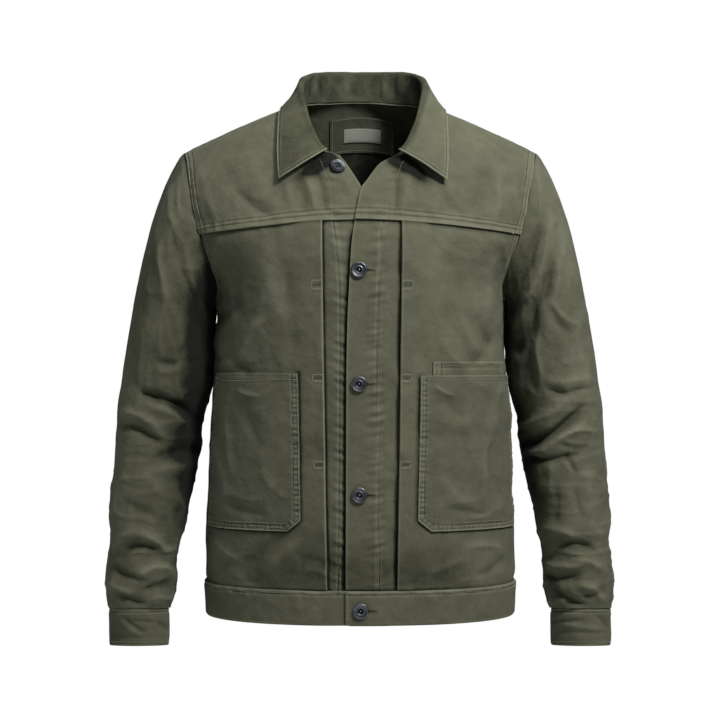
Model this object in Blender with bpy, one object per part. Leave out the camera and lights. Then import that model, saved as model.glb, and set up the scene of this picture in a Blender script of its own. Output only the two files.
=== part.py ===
"""Overshirt: a short cotton-twill work jacket, filled out as if worn, cut piece by piece.

Every piece is a thin closed wall.  Sizes are in millimetres; meshes are written in metres.
+X is the wearer's left, -Y the front, +Z up.  The origin is between the shoulders, level with
the point where the front shoulder line meets the collar, so the neck hole surrounds it.

The body is one smooth surface, torso(angle, height): angle runs round the body in degrees
(0 centre front, 90 the wearer's left side seam, 180 centre back) and height is measured up the
cloth from the armpit line (0) to the shoulder ridge (RIDGE_HEIGHT), negative towards the hem.
"""
from math import acos, atan2, cos, hypot, pi, sin

import bmesh
import bpy
import numpy as np

MM = 0.001

# ---------------------------------------------------------------- driving sizes, millimetres
WALL = 1.3                # one layer of twill
GAP = 0.3                 # between neighbouring pieces
SEAM = GAP / 2            # each piece stops this far short of its seam line

ARMPIT_Z = -235.0         # level of the armpit line
RIDGE_Z = 16.0            # level of the shoulder ridge beside the neck
RIDGE_HEIGHT = 308.0      # the same ridge, measured up the cloth from the armpit line
HEM_HEIGHT = -410.0
BAND_TOP = -367.0         # waistband seam
YOKE_SEAM = 68.6          # front yoke seam
BACK_YOKE_SEAM = 89.0
SHOULDER_SEAM = 296.0     # on the front, just before the ridge
SHOULDER_SLOPE = 0.48
SHOULDER_BEND = 60.0      # half width over which the shoulder line rounds off at the neck
NECK_HALF = 78.0
NAPE_DEPTH = 44.0         # how far the nape stands back from the shoulder ridge
NAPE_SPREAD = 78.0
NECK_SHIFT = 3.5          # the collar sits a little towards the wearer's left
SQUARE = 2 / 2.3          # body sections are slightly squared ellipses

PLACKET_WALL = 2.4        # turned-in button stand, two layers
LAP_OVER = 1.4            # the left front rises by this over the lap
LAP_UNDER = -1.3          # and the right front sinks by this
SEAM_PRESS = 1.6          # fronts sink by this where the pleat is caught in a seam
TURN_IN = 13.0            # the open top of each front rolls inwards by this

BUTTON_RADIUS = 9.8
CUFF_BUTTON_RADIUS = 7.5
LEFT, RIGHT = 1, -1       # the wearer's left is at +X

# height of a body section, its half width, and its depth in front of and behind the side seam
SECTIONS = np.array([
    # height   width   front   back
    (-410.0, 197.5, 128.0, 118.0),
    (-365.0, 199.5, 130.0, 118.0),
    (-305.0, 200.0, 131.0, 115.0),
    (-195.0, 194.0, 133.0, 111.0),
    (-135.0, 190.5, 133.5, 112.5),
    (-83.0, 188.0, 133.5, 118.0),
    (0.0, 186.0, 132.0, 126.0),
    (68.6, 226.0, 132.0, 126.0),
    (119.0, 236.0, 132.0, 126.0),
    (200.0, 240.0, 132.0, 126.0),
    (308.0, 241.0, 132.0, 126.0),
])

# where the armhole cuts the front or the back: height and angle from the centre line
ARMHOLE = np.array([
    (-10.0, 90.0), (-4.0, 81.5), (4.0, 75.0), (20.0, 70.2), (45.0, 63.9), (68.6, 61.3),
    (119.0, 62.7), (200.0, 66.1), (308.0, 70.5),
])
UNDERARM = -10.0

# front edge of each front: height and place across the body (+ is the wearer's left)
FRONT_EDGE = {
    LEFT: np.array([
        (-410.0, -17.5), (-108.0, -16.6), (-34.5, -15.3), (11.5, -12.9), (44.9, -10.4),
        (65.7, -6.8), (83.3, -3.1), (100.2, 1.7), (109.0, 8.7), (120.0, 16.4),
        (132.5, 25.5), (139.0, 33.0), (146.0, 43.0),
    ]),
    RIGHT: np.array([
        (-410.0, 14.0), (-25.0, 13.5), (27.0, 12.0), (68.8, 9.0), (84.6, 6.0),
        (102.6, 1.0), (110.4, -3.7), (122.7, -11.4), (135.9, -19.2), (146.0, -26.4),
    ]),
}
PLACKET_WIDTH = 38.5
CORNER = 146.0            # top corner of each front edge

# neckline from the collar's end round to the nape: half width, height, 0 front or 1 back
NECKLINE = np.array([
    (44.0, 147.6, 0), (52.0, 153.5, 0), (60.0, 166.6, 0), (68.0, 193.6, 0), (74.0, 226.5, 0),
    (79.0, 259.6, 0), (81.2, 287.0, 0), (82.0, 308.0, 1), (75.0, 297.7, 1), (62.0, 287.0, 1),
    (42.0, 273.0, 1), (22.0, 267.0, 1), (0.0, 265.0, 1),
])

# top of the collar's stand, one row for each neckline row: half width, y, z
ROLL_LINE = np.array([
    (46.0, -103.0, -53.0), (54.5, -95.0, -43.5), (61.0, -84.0, -31.0), (66.5, -69.0, -14.0),
    (71.0, -47.0, 6.0), (75.5, -20.0, 29.0), (77.0, -3.0, 40.0), (77.0, 13.0, 49.0),
    (73.5, 36.0, 57.5),
    (63.0, 57.0, 64.0), (44.0, 74.0, 68.0), (22.0, 83.5, 69.5), (0.0, 86.5, 70.0),
])

# free edge of the leaf, one row for each neckline row, lying over the body at LEAF_LIFT
LEAF_EDGE = np.array([
    # half width, height, 0 front or 1 back
    (104.0, 115.0, 0), (106.5, 132.0, 0), (108.5, 156.0, 0), (109.5, 190.0, 0),
    (110.0, 226.0, 0), (109.5, 262.0, 0), (108.5, 286.0, 0), (107.0, 306.0, 1),
    (100.0, 272.0, 1),
    (85.0, 240.0, 1), (62.0, 222.0, 1), (32.0, 213.0, 1), (0.0, 211.0, 1),
])
LEAF_LIFT = np.array([9.0, 8.0, 7.0, 6.0, 6.0, 6.0, 6.5, 7.0, 7.0, 7.0, 7.0, 7.0, 7.0])
COLLAR_WALL = 2.0
COLLAR_SEAT = 1.8         # middle of the stand's foot above the yoke
ROLL_RADIUS = np.array([2.2, 2.6, 3.0, 3.4, 3.8, 4.2, 4.4, 4.4, 4.4, 4.4, 4.4, 4.4, 4.4])
LEAF_CROWN = 3.5          # the leaf bulges outwards by this

# sleeve sections below the armhole: level, centre x, half width, centre y, half depth
SLEEVE = np.array([
    (-250.0, 240.1, 52.9, 0.0, 75.0),
    (-292.0, 244.7, 56.3, 1.0, 74.0),
    (-330.0, 248.3, 58.7, 3.0, 72.5),
    (-350.0, 250.6, 59.0, 3.0, 71.5),
    (-366.0, 254.5, 58.4, 3.0, 70.2),
    (-381.0, 257.8, 57.0, 2.5, 69.0),
    (-396.0, 260.0, 55.0, 2.0, 68.0),
    (-411.0, 261.2, 55.0, 1.0, 67.0),
    (-428.0, 262.5, 55.6, 0.0, 65.5),
    (-461.0, 266.5, 54.0, -3.0, 63.0),
    (-500.0, 273.0, 52.0, -7.0, 60.0),
    (-526.0, 275.6, 50.2, -10.0, 58.0),
    (-542.0, 277.4, 47.6, -12.0, 56.0),
    (-556.0, 280.0, 45.4, -13.5, 53.5),
    (-570.0, 283.4, 44.8, -15.5, 51.5),
    (-584.0, 284.9, 45.6, -16.5, 51.0),
    (-598.0, 285.0, 46.6, -17.5, 51.0),
    (-612.0, 285.2, 46.0, -18.5, 50.0),
    (-625.0, 286.0, 44.0, -19.5, 46.5),
    (-637.7, 287.0, 40.0, -20.0, 43.0),
])
SLEEVE_SQUARE = 2 / 2.15
CAP_ROWS = 6
ARM_RING = 24             # points round a sleeve
ARMHOLE_GAP = 0.6         # between the body and the sleeve along the armhole
SEAM_UNDER = 165.0        # the two sleeve seams, degrees round the arm from its outer line
SEAM_ELBOW = 285.0

# direction in which the sleeve leaves the armhole, by degrees round the arm
CAP_LEAD = np.array([
    # round   outwards  back   up
    (0.0, 0.62, 0.00, -0.78),
    (45.0, 0.66, -0.22, -0.72),
    (90.0, 0.62, -0.34, -0.71),
    (135.0, 0.66, -0.30, -0.69),
    (180.0, 0.90, 0.00, -0.44),
    (225.0, 0.66, 0.30, -0.69),
    (270.0, 0.62, 0.34, -0.71),
    (315.0, 0.66, 0.22, -0.72),
    (360.0, 0.62, 0.00, -0.78),
])

# the sleeves' largest folds.  Each runs across the arm: its level and place round the arm at the
# middle, how much it climbs per degree, its reach round the arm, its half width and its height
FOLDS = {
    RIGHT: np.array([
        # level   round  climb   reach  half   height
        (-352.0, 105.0, -0.55, 45.0, 13.0, 6.0),
        (-378.0, 140.0, -0.42, 40.0, 11.0, 6.5),
        (-404.0, 110.0, -0.30, 50.0, 12.0, 6.0),
        (-428.0, 95.0, 0.25, 45.0, 11.0, 5.0),
        (-545.0, 110.0, -0.25, 50.0, 11.0, 4.5),
        (-566.0, 60.0, 0.22, 55.0, 10.0, 5.0),
        (-586.0, 130.0, -0.22, 50.0, 10.0, 6.0),
        (-606.0, 60.0, 0.20, 60.0, 10.0, 5.0),
        (-400.0, 290.0, 0.25, 60.0, 12.0, 5.0),
        (-575.0, 285.0, 0.15, 70.0, 11.0, 5.0),
        (-604.0, 270.0, -0.12, 60.0, 10.0, 4.5),
    ]),
    LEFT: np.array([
        (-338.0, 120.0, -0.40, 45.0, 13.0, 5.0),
        (-372.0, 95.0, -0.50, 40.0, 12.0, 7.0),
        (-398.0, 125.0, -0.35, 45.0, 11.0, 6.5),
        (-430.0, 110.0, 0.30, 45.0, 12.0, 5.0),
        (-535.0, 80.0, 0.20, 50.0, 11.0, 4.5),
        (-558.0, 125.0, -0.25, 50.0, 10.0, 6.0),
        (-580.0, 70.0, 0.22, 55.0, 10.0, 5.0),
        (-602.0, 125.0, -0.20, 55.0, 10.0, 6.0),
        (-392.0, 285.0, -0.22, 60.0, 12.0, 5.0),
        (-570.0, 290.0, -0.15, 70.0, 11.0, 5.0),
        (-600.0, 275.0, 0.12, 60.0, 10.0, 4.5),
    ]),
}

CUFF_TOP = -638.0
CUFF_BOTTOM = -681.5
CUFF_WALL = 2.4
CUFF_CENTRE = (287.5, -20.0)
CUFF_HALF = (39.0, 42.0)
CUFF_LAP_START = 236.0    # degrees round the arm where the top end of the cuff lies
CUFF_LAP = 24.0           # degrees that the ends overlap

BAND_WALL = 3.0
BAND_OUT = 1.6            # outer face of the waistband beyond the body surface
BAND_OVER = 1.5
BAND_UNDER = -1.8

# the pressed pleat, across from its fold line towards the side seam (outer and inner skin)
PLEAT = np.array([
    # outer: towards side, out;  inner: towards side, out
    (15.0, 0.00, 15.0, -1.30),
    (15.3, 0.06, 16.7, -0.85),
    (15.4, 0.18, 17.1, 0.20),
    (15.3, 0.30, 16.7, 1.25),
    (15.0, 0.36, 15.0, 1.66),
    (1.4, 0.36, 1.4, 1.66),
    (0.0, 0.80, 1.1, 1.75),
    (-0.3, 1.85, 1.0, 1.84),
    (0.0, 2.90, 1.1, 1.93),
    (1.4, 3.32, 1.4, 2.02),
    (14.0, 3.25, 14.0, 1.95),
    (22.0, 2.70, 22.0, 1.40),
    (31.0, 1.60, 31.0, 0.30),
    (42.0, 0.50, 42.0, -0.80),
])
PLEAT_FOLD = {LEFT: np.array([(-365.0, 46.0), (68.6, 51.6)]),
              RIGHT: np.array([(-365.0, 40.5), (68.6, 46.7)])}

POCKET = {
    # half width of the inner edge at the top and bottom, angle of the outer edge
    LEFT: {"inner": (73.4, 70.6), "outer": 76.5},
    RIGHT: {"inner": (75.8, 72.1), "outer": 73.0},
}
POCKET_TOP = -102.5
POCKET_BOTTOM = -294.5
POCKET_CUT = (17.0, 13.5)  # the cut corner, across and up
POCKET_HEM = 20.0
POCKET_GAPE = 3.0          # the mouth stands away from the front by this
TOOL_TOP = -85.5
TOOL_BOTTOM = -150.0
TOOL_ACROSS = (89.6, 70.0)  # half width of its inner edge, angle of its outer edge

BUTTONS = (  # level and place across the body
    (-77.5, -28.5), (-208.0, -1.2), (-348.0, -1.2), (-484.0, -0.6), (-626.0, 0.9),
)

PATCH_WIDTH, PATCH_TOP, PATCH_BOTTOM = 88.0, 226.0, 164.0
LABEL_WIDTH, LABEL_TOP, LABEL_BOTTOM = 51.0, 202.5, 179.5
PATCH_CENTRE = 3.0
PATCH_WALL = 1.0
PATCH_SINK = WALL + 0.95  # its outer face inside the body surface, clear of the yoke's facets


# ---------------------------------------------------------------- curves and surfaces
def curve(xs, ys, at):
    """Smooth curve through the points, never beyond them, read at `at`; level past the ends."""
    xs, ys = np.asarray(xs, float), np.asarray(ys, float)
    step = np.diff(xs)
    slope = np.diff(ys) / step
    tangent = np.zeros(len(xs))
    tangent[0], tangent[-1] = slope[0], slope[-1]
    product = slope[:-1] * slope[1:]
    total = np.where(product > 0, slope[:-1] + slope[1:], 1.0)
    tangent[1:-1] = np.where(product > 0, 2 * product / total, 0.0)
    at = np.clip(np.asarray(at, float), xs[0], xs[-1])
    i = np.clip(np.searchsorted(xs, at, side="right") - 1, 0, len(step) - 1)
    t = (at - xs[i]) / step[i]
    return ((1 + 2 * t) * (1 - t) ** 2 * ys[i] + t * (1 - t) ** 2 * step[i] * tangent[i]
            + t * t * (3 - 2 * t) * ys[i + 1] + t * t * (t - 1) * step[i] * tangent[i + 1])


def ramp(at, low, high):
    """0 below `low`, 1 above `high`, smooth between; `low` may be the larger."""
    t = np.clip((np.asarray(at, float) - low) / (high - low), 0, 1)
    return t * t * (3 - 2 * t)


def power(value, exponent):
    return np.sign(value) * np.abs(value) ** exponent


def unit(vectors):
    return vectors / np.linalg.norm(vectors, axis=-1, keepdims=True)


def torso_point(angle, height):
    """The body surface, without offset."""
    angle, height = np.broadcast_arrays(np.asarray(angle, float), np.asarray(height, float))
    over = (np.abs(angle) > 90) & (height > RIDGE_HEIGHT)   # a back piece that passes the ridge
    angle = np.where(over, np.sign(angle) * (180 - np.abs(angle)), angle)
    height = np.where(over, 2 * RIDGE_HEIGHT - height, height)
    rise = np.clip(height, 0, None) / RIDGE_HEIGHT * pi / 2
    across = power(np.sin(np.radians(angle)), SQUARE)
    forward = power(np.cos(np.radians(angle)), SQUARE)
    x = curve(SECTIONS[:, 0], SECTIONS[:, 1], height) * across
    climb = RIDGE_Z - ARMPIT_Z
    level = ARMPIT_Z + np.minimum(height, 0) + climb * np.sin(rise)
    lean = np.clip((level - ARMPIT_Z) / climb, 0, 1) ** 1.5
    z = level - SHOULDER_SLOPE * lean * (np.hypot(x, SHOULDER_BEND)
                                         - hypot(NECK_HALF, SHOULDER_BEND))
    front = curve(SECTIONS[:, 0], SECTIONS[:, 2], height) * np.cos(rise)
    back = curve(SECTIONS[:, 0], SECTIONS[:, 3], height) * power(np.cos(rise), 0.7)
    nape = NAPE_DEPTH * np.exp(-(x / NAPE_SPREAD) ** 2)
    y = np.where(forward > 0, nape * np.sin(rise) ** 20 - front * forward,
                 nape * np.sin(rise) ** 6 - back * forward)
    return np.stack([x, y, z], axis=-1)


def torso(angle, height, out=0.0):
    """A point of the body surface moved `out` along its outward normal."""
    angle, height = np.broadcast_arrays(np.asarray(angle, float), np.asarray(height, float))
    across = torso_point(angle + 0.2, height) - torso_point(angle - 0.2, height)
    up = torso_point(angle, height + 0.5) - torso_point(angle, height - 0.5)
    normal = unit(np.cross(across, up))
    return torso_point(angle, height) + normal * np.asarray(out, float)[..., None]


def angle_at(x, height):
    """Angle of the front at a place across the body; 180 minus it is the back's."""
    width = curve(SECTIONS[:, 0], SECTIONS[:, 1], height)
    share = np.clip(np.abs(x) / width, 0, 1) ** (1 / SQUARE)
    return np.sign(x) * np.degrees(np.arcsin(share))


def armhole_angle(height):
    return np.where(np.asarray(height) <= UNDERARM, 90.0,
                    curve(ARMHOLE[:, 0], ARMHOLE[:, 1], height))


# ---------------------------------------------------------------- making solids
def material(name, colour, roughness, metallic=0.0):
    made = bpy.data.materials.new(name)
    made.use_nodes = True
    shader = made.node_tree.nodes["Principled BSDF"]
    shader.inputs["Base Color"].default_value = (*colour, 1.0)
    shader.inputs["Roughness"].default_value = roughness
    shader.inputs["Metallic"].default_value = metallic
    return made


def twill(name, shade=1.0):
    return material(name, tuple(shade * part for part in (0.115, 0.118, 0.082)), 0.86)


def add_object(name, mesh_data, finish, smooth=True):
    mesh = bpy.data.meshes.new(name)
    mesh_data.to_mesh(mesh)
    mesh_data.free()
    if smooth:
        mesh.shade_smooth()
        mesh.set_sharp_from_angle(angle=0.7)
    mesh.materials.append(finish)
    made = bpy.data.objects.new(name, mesh)
    bpy.context.scene.collection.objects.link(made)
    return made


def wall(name, outer, inner, finish, ring=False):
    """A closed wall between two grids of points [row, column, xyz]; a ring joins its columns."""
    rows, columns = outer.shape[:2]
    work = bmesh.new()
    skins = [[[work.verts.new(point * MM) for point in row] for row in grid]
             for grid in (outer, inner)]
    last = columns if ring else columns - 1

    def quad(a, b, c, d):
        work.faces.new((a, b, c, d))

    for row in range(rows - 1):
        for column in range(last):
            after = (column + 1) % columns
            for skin in skins:
                quad(skin[row][column], skin[row][after],
                     skin[row + 1][after], skin[row + 1][column])
    out, ins = skins
    for column in range(last):
        after = (column + 1) % columns
        for row in (0, rows - 1):
            quad(out[row][column], out[row][after], ins[row][after], ins[row][column])
    if not ring:
        for row in range(rows - 1):
            for column in (0, columns - 1):
                quad(out[row][column], out[row + 1][column],
                     ins[row + 1][column], ins[row][column])
    bmesh.ops.recalc_face_normals(work, faces=work.faces)
    return add_object(name, work, finish)


def inner_skin(outer, thickness, outward):
    """Points of a grid moved in by `thickness`; `outward` is +1 or -1 for the grid's turn."""
    normal = unit(np.cross(np.gradient(outer, axis=1), np.gradient(outer, axis=0))) * outward
    return outer - normal * thickness


def turned(name, profile, centre, axis, finish, sides=14):
    """A turned piece: `profile` gives radius and height along `axis`, both ends on the axis."""
    axis = unit(np.asarray(axis, float))
    side = unit(np.cross(axis, (0.0, 0.0, 1.0)))
    other = np.cross(axis, side)
    work = bmesh.new()
    rings = []
    for radius, height in profile:
        if radius == 0:
            rings.append([work.verts.new((centre + axis * height) * MM)])
            continue
        ring = []
        for step in range(sides):
            turn = 2 * pi * step / sides
            spoke = side * cos(turn) + other * sin(turn)
            ring.append(work.verts.new((centre + axis * height + spoke * radius) * MM))
        rings.append(ring)
    for first, second in zip(rings, rings[1:]):
        for step in range(sides):
            after = (step + 1) % sides
            corners = [first[step % len(first)], first[after % len(first)],
                       second[after % len(second)], second[step % len(second)]]
            work.faces.new(list(dict.fromkeys(corners)))
    bmesh.ops.recalc_face_normals(work, faces=work.faces)
    return add_object(name, work, finish)


# ---------------------------------------------------------------- fronts
def edge_of(side, height):
    """Place of the front edge, measured towards that front's own side."""
    table = FRONT_EDGE[side]
    return side * curve(table[:, 0], table[:, 1], height)


def front_out(side, across, height):
    """How far a front's outer skin lies off the body surface, before its pleat."""
    lap = LAP_OVER if side == LEFT else LAP_UNDER
    rolled = TURN_IN * ramp(height, 98.0, 150.0)
    inside = np.clip(1 - (across - edge_of(side, height)) / 30.0, 0, 1)
    return lap * ramp(across, 40.0, 20.0) - rolled * inside ** 2


def yoke_out(side, across, height):
    """The yoke stands over its seam by a folded edge."""
    edge = 1.3 * np.exp(-((height - YOKE_SEAM) / 11.0) ** 2)
    if side == RIGHT:
        edge = edge * ramp(across, 12.0, 34.0)
    return front_out(side, across, height) + edge


def pressed(height):
    """How far a front sinks where the pleat is caught in a seam."""
    return SEAM_PRESS * (np.exp(-((height - YOKE_SEAM) / 9.0) ** 2)
                         + np.exp(-((height - BAND_TOP) / 9.0) ** 2))


def front_panel(side, finish):
    heights = np.array([BAND_TOP + SEAM, -357.0, -330.0, -270.0, -205.0, -140.0, -75.0,
                        UNDERARM, -5.0, 2.0, 10.0, 26.0, 46.0, 59.0, YOKE_SEAM - SEAM])
    outer, inner = [], []
    for height in heights:
        edge = edge_of(side, height)
        fold = curve(*PLEAT_FOLD[side].T, height)
        stand = edge + PLACKET_WIDTH
        flat = np.array([edge, 6.0, 20.0, stand - 1.0, stand, fold + 2.0])
        thick = np.array([PLACKET_WALL] * 4 + [WALL] * 2)
        lift = front_out(side, flat, height)
        far = fold + PLEAT[-1, 0] + 10.0
        limit = armhole_angle(height) - (0.0 if height > UNDERARM else 0.05)
        angles = np.linspace(angle_at(far, height), limit, 5)
        spread = np.zeros(len(angles))
        for skin, place, rise, drop in (
                (outer, PLEAT[:, 0], PLEAT[:, 1], 0 * thick),
                (inner, PLEAT[:, 2], PLEAT[:, 3], thick)):
            near = angle_at(np.concatenate([flat, fold + place]), height)
            out = np.concatenate([lift - drop, rise, spread - (WALL if skin is inner else 0.0)])
            skin.append(torso(side * np.concatenate([near, angles]), height,
                              out - pressed(height)))
    return wall(f"front_{'left' if side == LEFT else 'right'}",
                np.array(outer), np.array(inner), finish)


def neck_place(side, height):
    """Place of the neckline on the front, measured towards that side."""
    rows = NECKLINE[NECKLINE[:, 2] == 0]
    xs = np.append(rows[:, 1], RIDGE_HEIGHT)
    return curve(xs, np.append(rows[:, 0], 82.0), height) + side * NECK_SHIFT


def yoke_front(side, finish):
    low = np.array([YOKE_SEAM + SEAM, 77.0, 89.0, 104.0, 119.0, 133.0, CORNER])
    high = np.array([147.6, 158.0, 178.0, 206.0, 234.0, 262.0, 282.0, SHOULDER_SEAM - SEAM])
    outer, inner = [], []
    for height in np.concatenate([low, high]):
        start = edge_of(side, height) if height <= CORNER else neck_place(side, height)
        stop = armhole_angle(height)
        share = np.array([0, 0.05, 0.11, 0.18, 0.27, 0.38, 0.52, 0.66, 0.79, 0.90, 1.0])
        first = angle_at(start, height)
        angles = first + (stop - first) * share
        across = power(np.sin(np.radians(angles)), SQUARE) * curve(*SECTIONS[:, :2].T, height)
        out = yoke_out(side, across, height)
        base = front_out(side, across, height)
        thick = WALL + (PLACKET_WALL - WALL) * ramp(across - start, 42.0, 34.0)
        outer.append(torso(side * angles, height, out))
        inner.append(torso(side * angles, height, base - thick))
    return wall(f"yoke_front_{'left' if side == LEFT else 'right'}",
                np.array(outer), np.array(inner), finish)


# ---------------------------------------------------------------- back
def back_panel(finish):
    heights = np.array([BAND_TOP + SEAM, -320.0, -260.0, -195.0, -130.0, -65.0, UNDERARM, -4.0,
                        4.0, 16.0, 34.0, 58.0, BACK_YOKE_SEAM - SEAM])
    outer, inner = [], []
    for height in heights:
        limit = armhole_angle(height) - (0.05 if height <= UNDERARM else 0.0)
        angles = 180 - np.linspace(limit, -limit, 17)
        outer.append(torso(angles, height))
        inner.append(torso(angles, height, -WALL))
    return wall("back_panel", np.array(outer), np.array(inner), finish)


def neck_height(x):
    """Height of the back neckline at a place across the body."""
    rows = NECKLINE[NECKLINE[:, 2] == 1][::-1]
    return curve(rows[:, 0], rows[:, 1], np.abs(x - NECK_SHIFT))


def yoke_back(finish):
    """The back yoke: each column runs up from its seam to the neckline or over the shoulder."""
    low = BACK_YOKE_SEAM + SEAM
    over = 2 * RIDGE_HEIGHT - SHOULDER_SEAM - SEAM      # the shoulder seam, measured up the back
    shares = np.array([0, 0.08, 0.22, 0.4, 0.6, 0.76, 0.87, 0.94, 0.97, 1.0])
    # up to 1 a column's place is its share of the half neck, past 1 of the way to the armhole
    places = np.concatenate([np.linspace(-2, -1, 9), np.linspace(-0.8, 0.8, 9),
                             np.linspace(1, 2, 9)])
    outer, inner = [], []
    for place in places:
        side = LEFT if place > 0 else RIGHT
        x = side * min(abs(place), 1) * neck_place(side, SHOULDER_SEAM)
        high = over if abs(place) >= 1 else min(neck_height(x), RIDGE_HEIGHT)
        height = low + (high - low) * shares
        level = np.minimum(height, 2 * RIDGE_HEIGHT - height)
        turn = np.abs(angle_at(x, level))
        turn += (armhole_angle(level) - turn) * max(abs(place) - 1, 0)
        raised = 0.9 * np.exp(-((height - BACK_YOKE_SEAM) / 11.0) ** 2)
        raised += 0.6 * np.exp(-((height - over) / 6.0) ** 2)
        outer.append(torso(side * (180 - turn), height, raised))
        inner.append(torso(side * (180 - turn), height, -WALL))
    return wall("yoke_back", np.array(outer), np.array(inner), finish)


# ---------------------------------------------------------------- collar
def collar_stations():
    """Foot, roll line, leaf edge, roll radius at each station from end to end."""
    stations = []
    for side, order in ((RIGHT, range(len(NECKLINE))),
                        (LEFT, range(len(NECKLINE) - 2, -1, -1))):
        for index in order:
            points = []
            for table, lift in ((NECKLINE, COLLAR_SEAT), (LEAF_EDGE, LEAF_LIFT[index])):
                half, height, behind = table[index]
                x = side * half + NECK_SHIFT
                turn = float(angle_at(x, height))
                if behind:
                    turn = 180 - turn
                points.append(torso(turn, height, lift))
            half, y, z = ROLL_LINE[index]
            roll = np.array([side * half + NECK_SHIFT, y, z])
            stations.append((points[0], roll, points[1], ROLL_RADIUS[index]))
    return stations


def collar_section(foot, roll, leaf, radius):
    """Middle line of one section in its own plane: up the stand, over the roll, down the leaf."""
    up = unit(roll - foot)
    out = unit((leaf - roll) - up * np.dot(leaf - roll, up))
    rise = np.linalg.norm(roll - foot) - radius
    hub = foot + up * rise + out * radius
    free = np.array([np.dot(leaf - hub, out), np.dot(leaf - hub, up)])
    reach = np.linalg.norm(free)
    leave = atan2(free[1], free[0]) + acos(radius / reach)
    line = [(-radius, -rise), (-radius, -0.55 * rise), (-radius, -0.12 * rise)]
    line += [(radius * cos(turn), radius * sin(turn)) for turn in np.linspace(pi, leave, 6)]
    start = np.array(line[-1])
    sideways = np.array([cos(leave), sin(leave)])
    for share in (0.2, 0.45, 0.7, 0.88, 1.0):
        crown = LEAF_CROWN * 4 * share * (1 - share)
        line.append(tuple(start + (free - start) * share + sideways * crown))
    line = np.array(line)
    normal = np.gradient(line, axis=0)
    normal = unit(np.stack([-normal[:, 1], normal[:, 0]], axis=-1))
    skins = []
    for offset in (COLLAR_WALL / 2, -COLLAR_WALL / 2):
        flat = line + normal * offset
        skins.append(hub + flat[:, :1] * out + flat[:, 1:] * up)
    return skins


def collar(finish):
    sections = [collar_section(*station) for station in collar_stations()]
    return wall("collar", np.array([pair[0] for pair in sections]),
                np.array([pair[1] for pair in sections]), finish)


# ---------------------------------------------------------------- waistband
def band_piece(name, side, finish):
    heights = np.array([HEM_HEIGHT, -396.0, -381.0, BAND_TOP - SEAM])
    outer, inner = [], []
    for height in heights:
        if side:
            edge = edge_of(side, height)
            near = angle_at(np.array([edge, edge + 8.0, 8.0, 20.0, 32.0, 44.0, 70.0]), height)
            angles = np.concatenate([near, np.linspace(near[-1], 89.95, 9)[1:]])
            across = power(np.sin(np.radians(angles)), SQUARE) * 198.0
            lap = (BAND_OVER if side == LEFT else BAND_UNDER) * ramp(across, 44.0, 22.0)
            angles = side * angles
        else:
            angles = np.linspace(90.05, 269.95, 17)
            lap = 0.0 * angles
        outer.append(torso(angles, height, BAND_OUT + lap))
        inner.append(torso(angles, height, BAND_OUT + lap - BAND_WALL))
    return wall(name, np.array(outer), np.array(inner), finish)


# ---------------------------------------------------------------- sleeves
def armhole_loop(side, turns, depth=0.0):
    """Points just outside the armhole, by degrees round the arm from the shoulder tip forwards."""
    down = np.linspace(RIDGE_HEIGHT, UNDERARM, 240)
    loops = []
    for beyond in (0.0, 0.5):       # the edge itself, then a little past it on the body surface
        front = torso(side * (armhole_angle(down) + beyond), down, -depth)
        back = torso(side * (180 - armhole_angle(down) - beyond), down, -depth)[::-1]
        loops.append(np.concatenate([front, back[1:]]))
    edge, past = loops
    along = unit(np.gradient(edge, axis=0))
    away = past - edge
    away -= along * np.sum(away * along, axis=1, keepdims=True)
    size = np.linalg.norm(away, axis=1, keepdims=True)
    under = np.exp(-((edge[:, 2:] - ARMPIT_Z + 12.0) / 14.0) ** 2)
    away = np.where(size > 1e-6, away / np.maximum(size, 1e-6), 0) * (1 - under)
    away = unit(away + under * np.array([0.0, 0.0, 1.0]))
    start = edge + away * (ARMHOLE_GAP + 0.6 * under)
    length = np.append(0, np.cumsum(np.linalg.norm(np.diff(edge, axis=0), axis=1)))
    place = np.asarray(turns) % 360 / 360 * length[-1]
    return np.stack([np.interp(place, length, start[:, axis]) for axis in range(3)], axis=-1)


def sleeve_ring(side, level, turns):
    """One section of the sleeve, turns in degrees from the outer line forwards."""
    centre_x, half, centre_y, depth = (curve(-SLEEVE[:, 0], SLEEVE[:, column], -level)
                                       for column in (1, 2, 3, 4))
    turn = np.radians(turns)
    x = side * (centre_x + half * power(np.cos(turn), SLEEVE_SQUARE))
    y = centre_y - depth * power(np.sin(turn), SLEEVE_SQUARE)
    return np.stack([x, y, np.full(len(turn), level)], axis=-1)


def fold_height(side, level, turns):
    """Folds raise the sleeve's skin; none on the stretch beside the body."""
    raised = np.zeros(np.broadcast(level, turns).shape)
    for middle, place, climb, reach, half, height in FOLDS[side]:
        away = (np.asarray(turns) - place + 180) % 360 - 180
        line = level - middle - climb * away
        raised += height * np.exp(-(line / half) ** 2 - (away / reach) ** 2)
        raised -= 0.6 * height * np.exp(-((line + 1.6 * half) / half) ** 2 - (away / reach) ** 2)
    beside = np.exp(-(((np.asarray(turns) - 180) / 34.0) ** 2)) * ramp(level, -470.0, -400.0)
    ends = ramp(level, -636.0, -622.0) * ramp(level, -255.0, -300.0)
    return raised * ends * (1 - beside)


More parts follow.
